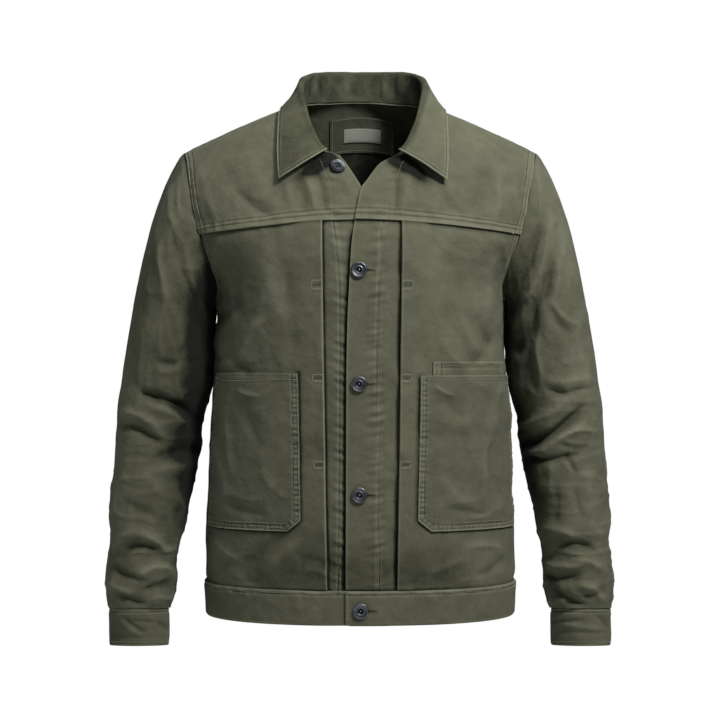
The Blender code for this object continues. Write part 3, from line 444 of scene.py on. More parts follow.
def twill(name, shade=1.0):
    """Garment-washed cotton twill: fine diagonal ribs, mottled dye, paler where abraded, painted
    shade.
    """
    cloth = Finish(name, Roughness=0.88, Sheen_Weight=0.03, Sheen_Roughness=0.55,
                   Specular_IOR_Level=0.16)
    # shade scales both dye stops: a lighter or darker copy of the twill for each piece, painted
    # light and shade.
    deep = tuple(shade * part for part in (0.062, 0.064, 0.039)) + (1.0,)
    pale = tuple(shade * part for part in (0.160, 0.162, 0.111)) + (1.0,)
    uv = cloth.node("ShaderNodeUVMap", {"uv_map": "cut"})
    place = cloth.node("ShaderNodeTexCoord", output=3)
    # Per-point values: paler where the cloth is abraded, darker where shade is painted.
    wear = cloth.node("ShaderNodeAttribute", {"attribute_name": "wear"}, output=2)
    cloud = cloth.node("ShaderNodeTexNoise", None, {"Vector": place, "Scale": 9.0, "Detail": 4.0,
                                                    "Roughness": 0.6})
    fade = cloth.node("ShaderNodeTexNoise", None, {"Vector": place, "Scale": 46.0, "Detail": 5.0,
                                                   "Roughness": 0.65})
    fleck = cloth.node("ShaderNodeTexNoise", None, {"Vector": place, "Scale": 900.0, "Detail": 2.0})
    tone = 0.42 + (cloud - 0.5) * 0.6 + (fade - 0.5) * 0.75 + (fleck - 0.5) * 0.5 + wear * 0.55
    # The near-black stop is painted shadow, for crevices and shaded sides.
    shadow = (0.008, 0.009, 0.006, 1.0)
    dye = cloth.node("ShaderNodeValToRGB", {"stops": ((0.0, shadow), (0.3, deep), (1.0, pale))},
                     [tone * 0.7 + 0.3])
    cloth.feed("Base Color", dye)
    ribs = cloth.node("ShaderNodeTexWave", {"wave_type": "BANDS", "bands_direction": "DIAGONAL"},
                      {"Vector": uv, "Scale": 330.0, "Distortion": 1.2, "Detail": 2.0,
                       "Detail Scale": 2.0})
    slub = cloth.node("ShaderNodeTexNoise", None, {"Vector": uv, "Scale": 420.0, "Detail": 3.0})
    dents = cloth.node("ShaderNodeTexNoise", None, {"Vector": place, "Scale": 85.0, "Detail": 3.5,
                                                    "Roughness": 0.55, "Distortion": 0.4})
    rumpled = cloth.node("ShaderNodeBump", None, {"Strength": 0.55, "Distance": 0.0022,
                                                  "Height": dents})
    weave = cloth.node("ShaderNodeBump", None, {"Strength": 0.35, "Distance": 0.0004,
                                                "Height": ribs * 0.5 + slub * 0.8,
                                                "Normal": rumpled})
    cloth.feed("Normal", weave)
    return cloth.material


def grid_faces(first, rows, columns, turned):
    """Corner numbers of the quads between neighbouring rows and columns of points."""
    number = first + np.arange(rows * columns).reshape(rows, columns)
    quads = np.stack([number[:-1, :-1], number[:-1, 1:], number[1:, 1:], number[1:, :-1]], axis=-1)
    quads = quads.reshape(-1, 4)
    return quads[:, ::-1] if turned else quads


def sheet_piece(name, outer, inner, finish, wear=0.0, inside=0.0):
    """One cut piece of cloth as a closed wall between its faces, with its own map, abrasion and
    painted shade.
    """
    rows, columns = outer.shape[:2]
    count = rows * columns
    across = np.gradient(outer, axis=1)
    up = np.gradient(outer, axis=0)
    facing = np.sum(np.cross(across, up) * (outer - inner))
    turned = facing < 0
    faces = [grid_faces(0, rows, columns, turned), grid_faces(count, rows, columns, not turned)]
    number = np.arange(count).reshape(rows, columns)
    for edge, away in ((number[0], True), (number[-1], False),
                       (number[:, 0], False), (number[:, -1], True)):
        rim = np.stack([edge[:-1], edge[1:], edge[1:] + count, edge[:-1] + count], axis=-1)
        faces.append(rim[:, ::-1] if away != turned else rim)
    faces = np.concatenate(faces)
    points = np.concatenate([outer.reshape(-1, 3), inner.reshape(-1, 3)]) * MM
    mesh = bpy.data.meshes.new(name)
    mesh.vertices.add(len(points))
    mesh.vertices.foreach_set("co", points.astype(np.float32).ravel())
    mesh.loops.add(faces.size)
    mesh.loops.foreach_set("vertex_index", faces.astype(np.int32).ravel())
    mesh.polygons.add(len(faces))
    mesh.polygons.foreach_set("loop_start", np.arange(0, faces.size, 4, dtype=np.int32))
    mesh.polygons.foreach_set("loop_total", np.full(len(faces), 4, dtype=np.int32))
    mesh.update(calc_edges=True)
    width = np.cumsum(np.linalg.norm(across, axis=-1), axis=1) * MM
    length = np.cumsum(np.linalg.norm(up, axis=-1), axis=0) * MM
    chart = np.stack([width, length], axis=-1).reshape(-1, 2)
    chart = np.concatenate([chart, chart])[faces.ravel()]
    mesh.uv_layers.new(name="cut").data.foreach_set("uv", chart.astype(np.float32).ravel())
    # inside is painted shade added on the inner face.
    worn_and_shaded, inside = (np.broadcast_to(np.asarray(values, float), (rows, columns)).ravel()
                    for values in (wear, inside))
    mesh.attributes.new("wear", "FLOAT", "POINT").data.foreach_set(
        "value", np.concatenate([worn_and_shaded, worn_and_shaded + inside]).astype(np.float32))
    mesh.materials.append(finish)
    mesh.shade_smooth()
    mesh.set_sharp_from_angle(angle=0.9)
    mesh.validate()
    piece = bpy.data.objects.new(name, mesh)
    scene.collection.objects.link(piece)
    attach(piece, "root")
    return piece


def flecked(name, scale, dark, light, **fixed):
    """A material with fine flecks between two colours."""
    finish = Finish(name, **fixed)
    place = finish.node("ShaderNodeTexCoord", output=3)
    fleck = finish.node("ShaderNodeTexNoise", None,
                        {"Vector": place, "Scale": scale, "Detail": 2.0})
    finish.feed("Base Color", finish.mix(fleck, dark + (1.0,), light + (1.0,)))
    return finish.material


cotton_thread = flecked("cotton_thread", 260.0, (0.150, 0.150, 0.108), (0.300, 0.298, 0.225),
                        Base_Color=(0.150, 0.150, 0.112, 1.0), Roughness=0.7, Sheen_Weight=0.2)


def sew(name, piece, lines, pitch=3.1, gauge=0.46, gap=0.32, finish=None):
    """Single stitches along lines that hover over a piece: each is a short thread laid on it."""
    tree = BVHTree.FromObject(piece, bpy.context.evaluated_depsgraph_get())
    starts, stops, ups = [], [], []
    for line in lines:
        line = np.asarray(line, float)
        length = np.append(0.0, np.cumsum(np.linalg.norm(np.diff(line, axis=0), axis=1)))
        window = 2 * int(12.0 * len(line) / max(length[-1], 1.0)) + 3
        facing = np.array([tree.find_nearest(place * MM)[1] for place in line])
        padded = np.pad(facing, ((window // 2, window // 2), (0, 0)), mode="edge")
        facing = unit(np.stack([np.convolve(padded[:, axis], np.ones(window) / window, "valid")
                                for axis in range(3)], axis=-1))
        count = max(1, int(length[-1] // pitch))
        begin = np.arange(count) * pitch + 0.5 * (length[-1] - count * pitch)
        hits = []
        for shift in (gap / 2 * pitch, pitch - gap / 2 * pitch):
            places, ways = (np.stack([np.interp(begin + shift, length, table[:, axis])
                                      for axis in range(3)], axis=-1) for table in (line, facing))
            hits.append([tree.ray_cast((place + 4.0 * way) * MM, -way, 0.018)[:2]
                         for place, way in zip(places, unit(ways))])
        for (near, up_near), (past, up_past) in zip(*hits):
            if near is None or past is None or (near - past).length > 1.6 * pitch * MM:
                continue
            starts.append(near / MM)
            stops.append(past / MM)
            ups.append((up_near + up_past).normalized())
    starts, stops, ups = np.array(starts), np.array(stops), np.array(ups)
    along = unit(stops - starts)
    beside = unit(np.cross(along, ups))
    count = len(starts)
    rings = [starts - 0.10 * ups]
    for share in (0.3, 0.7):
        middle = starts + (stops - starts) * share + 0.12 * ups
        for turn in range(4):
            spoke = (beside * math.cos(math.pi / 2 * turn) + ups * math.sin(math.pi / 2 * turn))
            rings.append(middle + gauge * spoke)
    rings.append(stops - 0.10 * ups)
    points = np.stack(rings, axis=1)
    pattern = []
    for turn in range(4):
        after = (turn + 1) % 4
        pattern.append((0, 1 + turn, 1 + after))
        pattern.append((1 + turn, 5 + turn, 5 + after))
        pattern.append((1 + turn, 5 + after, 1 + after))
        pattern.append((5 + turn, 9, 5 + after))
    faces = (np.array(pattern)[None] + 10 * np.arange(count)[:, None, None]).reshape(-1, 3)
    made = bpy.data.meshes.new(name)
    made.from_pydata((points.reshape(-1, 3) * MM).tolist(), [], faces.tolist())
    made.materials.append(finish or cotton_thread)
    made.shade_smooth()
    threads = bpy.data.objects.new(name, made)
    scene.collection.objects.link(threads)
    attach(threads, "root")


def seam_line(angle, height, lift=3.0):
    """A line on the body surface, held a little outside it."""
    return torso(angle, height, lift)


back_rows = BAND_TOP + SEAM + (BACK_YOKE_SEAM - BAND_TOP - 2 * SEAM) * shares(456.0, 4.2, 1.6,
                                                                              (0.0, 456.0))
back_rows = np.concatenate([BAND_TOP - np.array([3.5, 1.0]), back_rows,
                            BACK_YOKE_SEAM + np.array([1.0, 3.5])])     # tucked behind both seams
back_columns = 2 * shares(520.0, 4.2, 1.4, (0.0, 520.0)) - 1
back_angle = 180 - armhole_angle(back_rows)[:, None] * back_columns[None, :]
back_height = np.repeat(back_rows[:, None], len(back_columns), axis=1)
back_edges = [torso(180 - turn * armhole_angle(np.linspace(BAND_TOP, BACK_YOKE_SEAM, 700)),
                    np.linspace(BAND_TOP, BACK_YOKE_SEAM, 700)) for turn in (1, -1)]
back_skin = torso_point(back_angle, back_height)
back_relief = body_relief(back_angle, back_height) * (
    1 - 0.8 * ramp(back_height, BAND_TOP + 12.0, BAND_TOP))
back_relief = back_relief - 2.4 * ramp(back_height, BAND_TOP + 2.5, BAND_TOP - 0.5)
back_relief = back_relief - 1.1 * ramp(back_height, BACK_YOKE_SEAM - 2.0, BACK_YOKE_SEAM)
back_worn_and_shaded = 0.0
for edge in back_edges:
    far, along = from_line(back_skin, edge)
    back_relief = back_relief + sewn(far, along, SIDE_ROWS, 21)
    back_worn_and_shaded = back_worn_and_shaded + rubbed_and_groove_shade(far, SIDE_ROWS)
# -0.6 is painted shade on the inner face, inside the garment.
back_panel = sheet_piece("cloth_back_panel", torso(back_angle, back_height, back_relief),
                         torso(back_angle, back_height, back_relief - WALL), twill("twill_back"),
                         back_worn_and_shaded, -0.6)
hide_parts("back_panel")

back_stitches = []
for turn, edge in zip((1, -1), back_edges):
    heights = np.linspace(BAND_TOP + 2, BACK_YOKE_SEAM - 2, 700)
    for inset in SIDE_ROWS:
        limit = armhole_angle(heights) - np.degrees(inset / SIDE_RADIUS)
        back_stitches.append(seam_line(180 - turn * limit, heights))
sew("thread_back_panel", back_panel, back_stitches)


# ------------------------------------------------------------------ back yoke
# The upper back, cut in one and carried over both shoulders to a seam just in front of them.  Its
# lower edge is folded under and sewn down with two rows, and so is the shoulder seam.
BACK_YOKE_ROWS = (5.5, 10.5)
SHOULDER_ROWS = (2.2, 8.5)
NECK_SHIFT = 3.5
NECKLINE = np.array([         # half width, height, 0 in front or 1 behind
    (44.0, 147.6, 0), (52.0, 153.5, 0), (60.0, 166.6, 0), (68.0, 193.6, 0), (74.0, 226.5, 0),
    (79.0, 259.6, 0), (81.2, 287.0, 0), (82.0, 308.0, 1), (75.0, 297.7, 1), (62.0, 287.0, 1),
    (42.0, 273.0, 1), (22.0, 267.0, 1), (0.0, 265.0, 1),
])


def neck_place(side, height):
    rows = NECKLINE[NECKLINE[:, 2] == 0]
    heights = np.append(rows[:, 1], RIDGE_HEIGHT)
    return curve(heights, np.append(rows[:, 0], 82.0), height) + side * NECK_SHIFT


def neck_height(x):
    rows = NECKLINE[NECKLINE[:, 2] == 1][::-1]
    return curve(rows[:, 0], rows[:, 1], np.abs(x - NECK_SHIFT))


yoke_low = BACK_YOKE_SEAM + SEAM
yoke_over = 2 * RIDGE_HEIGHT - SHOULDER_SEAM - SEAM
yoke_shares = shares(231.0, 4.0, 1.4, (0.0, 10.0, 220.0, 231.0), 8.0)
shoulder_part = shares(150.0, 4.2, 1.4, (150.0,), 12.0)
yoke_places = np.concatenate([-1 - shoulder_part[::-1], np.linspace(-0.96, 0.96, 40),
                              1 + shoulder_part])
yoke_angles, yoke_heights = [], []
for place in yoke_places:
    side = LEFT if place > 0 else RIGHT
    x = side * min(abs(place), 1) * neck_place(side, SHOULDER_SEAM)
    inner_high = min(float(neck_height(x)), RIDGE_HEIGHT)
    high = yoke_over if abs(place) >= 1 else inner_high
    height = yoke_low + (high - yoke_low) * yoke_shares
    level = np.minimum(height, 2 * RIDGE_HEIGHT - height)
    turn = np.abs(angle_at(x, level))
    turn = turn + (armhole_angle(level) - turn) * max(abs(place) - 1, 0)
    yoke_angles.append(side * (180 - turn))
    yoke_heights.append(height)
yoke_angles, yoke_heights = np.array(yoke_angles), np.array(yoke_heights)


def level_of(height):
    """The level on the body: past the ridge the cloth comes down again in front."""
    return np.minimum(height, 2 * RIDGE_HEIGHT - height)


def yoke_back_relief(angle, height, skin):
    relief = body_relief(angle, height) * ramp(height, RIDGE_HEIGHT + 6, RIDGE_HEIGHT - 40)
    far = height - BACK_YOKE_SEAM
    along = skin[..., 0]
    relief = relief + 0.9 * bump(far, 0.0, 12.0) + sewn(far, along, BACK_YOKE_ROWS, 31, 0.35)
    front = yoke_over - height
    return relief + 0.6 * bump(front, 0.0, 8.0) + sewn(front, along, SHOULDER_ROWS, 33, 0.25)


yoke_skin = torso_point(yoke_angles, yoke_heights)
yoke_relief = yoke_back_relief(yoke_angles, yoke_heights, yoke_skin)
yoke_worn = 0.5 * bump(yoke_heights, BACK_YOKE_SEAM, 2.0) + 0.5 * bump(yoke_heights, yoke_over, 2.0)
for side, word in SIDES:
    heights = np.linspace(yoke_low, yoke_over, 500)
    level = level_of(heights)
    edge = torso(side * (180 - armhole_angle(level)), heights)
    far, along = from_line(yoke_skin, edge)
    yoke_relief = yoke_relief + sewn(far, along, ARMHOLE_ROWS, 35, 0.35)
    yoke_worn = yoke_worn + 0.7 * bump(far, 0.0, 1.6)
# The inner face gets painted shade, deeper lower down the back; 1.03 is a lighter copy of the
# twill, painted light.
yoke_back = sheet_piece("cloth_yoke_back", torso(yoke_angles, yoke_heights, yoke_relief),
                        torso(yoke_angles, yoke_heights, np.minimum(yoke_relief, 0.0) - WALL),
                        twill("twill_yoke_back", 1.03), yoke_worn,
                        -0.35 - 1.1 * ramp(yoke_heights, 245.0, 135.0))
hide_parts("yoke_back")

yoke_stitches = []
for side, word in SIDES:
    heights = np.linspace(yoke_low + 3, yoke_over - 3, 500)
    level = level_of(heights)
    for inset in ARMHOLE_ROWS:
        turn = armhole_angle(level) - np.degrees(inset / 175.0)
        yoke_stitches.append(seam_line(side * (180 - turn), heights))
    start = float(angle_at(neck_place(side, SHOULDER_SEAM), SHOULDER_SEAM))
    stop = float(armhole_angle(SHOULDER_SEAM))
    for inset in SHOULDER_ROWS:
        level = SHOULDER_SEAM + inset
        turns = np.linspace(start + 1, stop - 1, 300)
        yoke_stitches.append(seam_line(side * turns, np.full(300, level)))
for inset in BACK_YOKE_ROWS:
    turns = np.linspace(-1, 1, 600) * (float(armhole_angle(BACK_YOKE_SEAM)) - 1)
    yoke_stitches.append(seam_line(180 - turns, np.full(600, BACK_YOKE_SEAM + inset)))
sew("thread_yoke_back", yoke_back, yoke_stitches)


# ------------------------------------------------------------------ neck patch and label
# A patch of the same twill is sewn flat inside the back yoke, and a plain woven label on that.
# They lie on the inner face, so their own faces look into the neck.
PATCH_SINK = WALL + 0.95
PATCH_CENTRE = 3.0


def inside_patch(name, width, top, bottom, depth, thick, finish):
    rows = bottom + (top - bottom) * shares(top - bottom, 2.4, 1.0, (0.0, top - bottom), 4.0)
    columns = PATCH_CENTRE + width * (shares(width, 2.4, 1.0, (0.0, width), 4.0) - 0.5)
    across, height = np.meshgrid(columns, rows)
    angle = 180 - angle_at(across, height)
    rim = np.minimum(np.minimum(height - bottom, top - height),
                     width / 2 - np.abs(across - PATCH_CENTRE))
    spot = torso_point(angle, height)
    swell = 0.35 * ramp(rim, 0.0, 4.0) + 0.25 * mottle(spot, 14.0, 41)
    return sheet_piece(name, torso(angle, height, -depth - thick - swell),
                       torso(angle, height, -depth), finish, 0.5 * bump(rim, 0.0, 1.2))


# 0.62 makes a darker copy of the twill: painted shade on the patch inside the neck.
neck_patch = inside_patch("cloth_neck_patch", 88.0, 226.0, 164.0, PATCH_SINK, 1.0,
                          twill("twill_patch", 0.62))
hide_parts("neck_patch")
label_finish = Finish("woven_label", Roughness=0.75, Sheen_Weight=0.1)
label_map = label_finish.node("ShaderNodeUVMap", {"uv_map": "cut"})
label_weave = label_finish.node("ShaderNodeTexWave", {"bands_direction": "X"},
                                {"Vector": label_map, "Scale": 420.0, "Distortion": 0.6})
label_fleck = label_finish.node("ShaderNodeTexNoise", None, {"Vector": label_map, "Scale": 700.0})
label_finish.feed("Base Color", label_finish.mix(
    label_weave * 0.5 + label_fleck * 0.5, (0.200, 0.202, 0.165, 1.0), (0.288, 0.292, 0.247, 1.0)))
neck_label = inside_patch("cloth_neck_label", 51.0, 202.5, 179.5, PATCH_SINK + 1.6, 1.0,
                          label_finish.material)
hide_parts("neck_label")


def patch_round(width, top, bottom, inset, depth):
    """A line of stitches round a patch, on its face that looks into the neck."""
    left, right = PATCH_CENTRE - width / 2 + inset, PATCH_CENTRE + width / 2 - inset
    low, high = bottom + inset, top - inset
    corners = [(left, low), (left, high), (right, high), (right, low), (left, low)]
    lines = []
    for (a0, h0), (a1, h1) in zip(corners, corners[1:]):
        across, heights = np.linspace(a0, a1, 60), np.linspace(h0, h1, 60)
        lines.append(torso(180 - angle_at(across, heights), heights, -depth - 3.0))
    return lines


sew("thread_neck_patch", neck_patch, patch_round(88.0, 226.0, 164.0, 2.5, PATCH_SINK + 1.0))
sew("thread_neck_label", neck_label, patch_round(51.0, 202.5, 179.5, 1.4, PATCH_SINK + 2.6), 2.2)


# ------------------------------------------------------------------ fronts
# Two lower fronts in twill.  Each has a turned-in button stand, held by one row of stitches, and a
# knife pleat pressed from the yoke to the waistband and tacked with small boxes.
FRONT_EDGE = {                # height, place of the front edge
    LEFT: np.array([
        (-410.0, -17.5), (-108.0, -16.6), (-34.5, -15.3), (11.5, -12.9), (44.9, -10.4),
        (65.7, -6.8), (83.3, -3.1), (100.2, 1.7), (109.0, 8.7), (120.0, 16.4),
        (132.5, 25.5), (139.0, 33.0), (146.0, 43.0)]),
    RIGHT: np.array([
        (-410.0, 14.0), (-25.0, 13.5), (27.0, 12.0), (68.8, 9.0), (84.6, 6.0),
        (102.6, 1.0), (110.4, -3.7), (122.7, -11.4), (135.9, -19.2), (146.0, -26.4)]),
}
PLACKET_WIDTH = 38.5
PLACKET_WALL = 2.4
LAP = {LEFT: 1.4, RIGHT: -1.3}
TURN_IN = 13.0
PLEAT = np.array([            # outer face: across, out; inner face: across, out
    (15.0, 0.00, 15.0, -1.30), (15.3, 0.06, 16.7, -0.85), (15.4, 0.18, 17.1, 0.20),
    (15.3, 0.30, 16.7, 1.25), (15.0, 0.36, 15.0, 1.66), (8.0, 0.36, 8.0, 1.66),
    (1.4, 0.36, 1.4, 1.66), (0.4, 0.50, 1.2, 1.70), (-0.2, 1.10, 1.05, 1.78),
    (-0.35, 1.85, 1.0, 1.84), (-0.2, 2.60, 1.05, 1.90), (0.4, 3.20, 1.2, 1.96),
    (1.4, 3.45, 1.4, 2.05), (2.8, 3.30, 2.8, 1.98), (5.0, 3.20, 5.0, 1.95),
    (8.0, 3.25, 8.0, 1.95), (11.0, 3.25, 11.0, 1.95), (14.0, 3.25, 14.0, 1.95),
    (18.0, 3.02, 18.0, 1.72), (22.0, 2.70, 22.0, 1.40), (26.5, 2.20, 26.5, 0.90),
    (31.0, 1.60, 31.0, 0.30), (36.5, 0.98, 36.5, -0.32), (42.0, 0.50, 42.0, -0.80),
])
PLEAT_FOLD = {LEFT: np.array([(-365.0, 46.0), (68.6, 51.6)]),
              RIGHT: np.array([(-365.0, 40.5), (68.6, 46.7)])}
TACKS = (6.8, -105.8, -212.0)        # levels of the small sewn boxes on each pleat
BUTTONS = (                   # level, place across
    (-77.5, -28.5), (-208.0, -1.2), (-348.0, -1.2), (-484.0, -0.6), (-626.0, 0.9),
)
STAND_STITCH = {              # height, distance of the stand's stitching from the front edge
    LEFT: np.array([(-367.0, 41.0), (0.0, 37.5), (40.0, 35.0), (68.0, 36.5), (110.0, 33.0),
                    (146.0, 22.0)]),
    RIGHT: np.array([(-367.0, 41.0), (0.0, 38.0), (44.0, 40.0), (68.0, 42.0), (146.0, 28.0)]),
}


def edge_of(side, height):
    table = FRONT_EDGE[side]
    return side * curve(table[:, 0], table[:, 1], height)


def front_out(side, across, height):
    """How far a front's face lies off the body surface, before its pleat and creases."""
    rolled = TURN_IN * ramp(height, 98.0, 150.0)
    inside = np.clip(1 - (across - edge_of(side, height)) / 30.0, 0, 1)
    return LAP[side] * ramp(across, 40.0, 20.0) - rolled * inside ** 2


def pressed(height):
    return 1.6 * (bump(height, YOKE_SEAM, 9.0) + bump(height, BAND_TOP, 9.0))


def stand_relief(side, across, height):
    """The row of stitches along the button stand, and the small puckers it makes."""
    inset = across - edge_of(side, height)
    far = inset - curve(*STAND_STITCH[side].T, height)
    line = np.stack([height - 0.2 * inset, 0.12 * inset, 0 * height], axis=-1)
    pull = np.sin(0.55 * height - 0.12 * inset + 2.4 * mottle(line, 26.0, 51 + side))
    ripple = 1.0 * mottle(line, 12.0, 54) * bump(far, -7.0, 13.0)
    ripple = ripple + 0.7 * pull * (bump(far, -5.0, 8.5) + 0.35 * bump(far, 4.0, 4.0))
    ripple = ripple + 1.2 * mottle(line, 5.0, 55) * (bump(far, -4.0, 6.0)
                                                     + 0.4 * bump(far, 3.0, 4.0))
    edge = 0.35 * bump(inset, 1.5, 2.0) - 0.15 * bump(inset, 4.5, 1.6)
    return ripple * ramp(inset, 2.0, 12.0) - 0.5 * bump(far, 0.0, 1.3) + edge


def tack_boxes(side, across, height):
    """Where the cloth is held down by a box of stitches on the pleat."""
    fold = curve(*PLEAT_FOLD[side].T, height)
    held = 0.0
    for level in TACKS:
        held = held + bump(height, level, 7.0) * bump(across, fold + 7.0, 9.0)
    return held


def button_height(level, across):
    """The height up the cloth at which the body stands at a level."""
    heights = np.linspace(-410.0, RIDGE_HEIGHT, 2000)
    return float(np.interp(level, torso_point(angle_at(across, heights), heights)[:, 2], heights))


def button_rest(x, height):
    """1 where the cloth lies flat under a button, fading to 0 round it."""
    flat = 0.0
    for level, across in BUTTONS:
        away = np.hypot(x - across, height - button_height(level, across))
        flat = np.maximum(flat, ramp(away, 17.0, 9.0))
    return flat


def gape(side, across, height):
    """The pleat's top layer stands open between its tacks and the cloth beneath it sinks."""
    fold = curve(*PLEAT_FOLD[side].T, height)
    free = (1 - bump(height, YOKE_SEAM, 22.0)) * (1 - bump(height, BAND_TOP, 16.0))
    for level in TACKS:
        free = free * (1 - 0.85 * bump(height, level, 14.0))
    lift = 1.9 * free * bump(across, fold, 10.0)
    sink = -1.7 * free * bump(across, fold - 4.0, 9.0)
    return lift, sink


def front_relief(side, angle, height):
    across = side * across_at(angle, height)
    relief = body_relief(angle, height) + stand_relief(side, across, height)
    level = np.stack([across, 0.3 * height, 0 * across], axis=-1)
    relief = relief + 0.45 * mottle(level, 8.0, 57) * (
        bump(height, YOKE_SEAM, 12.0) + bump(height, BAND_TOP, 12.0))
    calm = ramp(across, edge_of(side, height) + 55.0, edge_of(side, height) + 12.0)
    relief = relief - 0.7 * body_relief(angle, height) * calm
    relief = relief - 0.9 * tack_boxes(side, across, height)
    return relief * (1 - button_rest(across * side, height))


POCKET_INNER = {LEFT: (73.4, 70.6), RIGHT: (75.8, 72.1)}      # half width at the top and bottom
POCKET_OUTER = {LEFT: 76.5, RIGHT: 73.0}                      # degrees
POCKET_TOP = {LEFT: -102.5, RIGHT: -99.5}
POCKET_BOTTOM = -294.5
POCKET_CUT = (17.0, 13.5)


def pocket_start(side, height):
    up = (height - POCKET_BOTTOM) / (POCKET_TOP[side] - POCKET_BOTTOM)
    top, bottom = POCKET_INNER[side]
    cut = POCKET_CUT[0] * np.clip(1 - (height - POCKET_BOTTOM) / POCKET_CUT[1], 0, 1)
    return bottom + (top - bottom) * up + cut


def pocket_outline(side):
    """Down the pocket's inner edge, along its foot and up its outer edge."""
    heights = np.linspace(POCKET_TOP[side], POCKET_BOTTOM, 500)
    inner = torso_point(side * angle_at(pocket_start(side, heights), heights), heights)
    foot = float(angle_at(pocket_start(side, POCKET_BOTTOM), POCKET_BOTTOM))
    low = torso_point(side * np.linspace(foot, POCKET_OUTER[side], 300),
                      np.full(300, POCKET_BOTTOM))
    outer = torso_point(np.full(500, side * POCKET_OUTER[side]), heights[::-1])
    return np.concatenate([inner, low, outer])


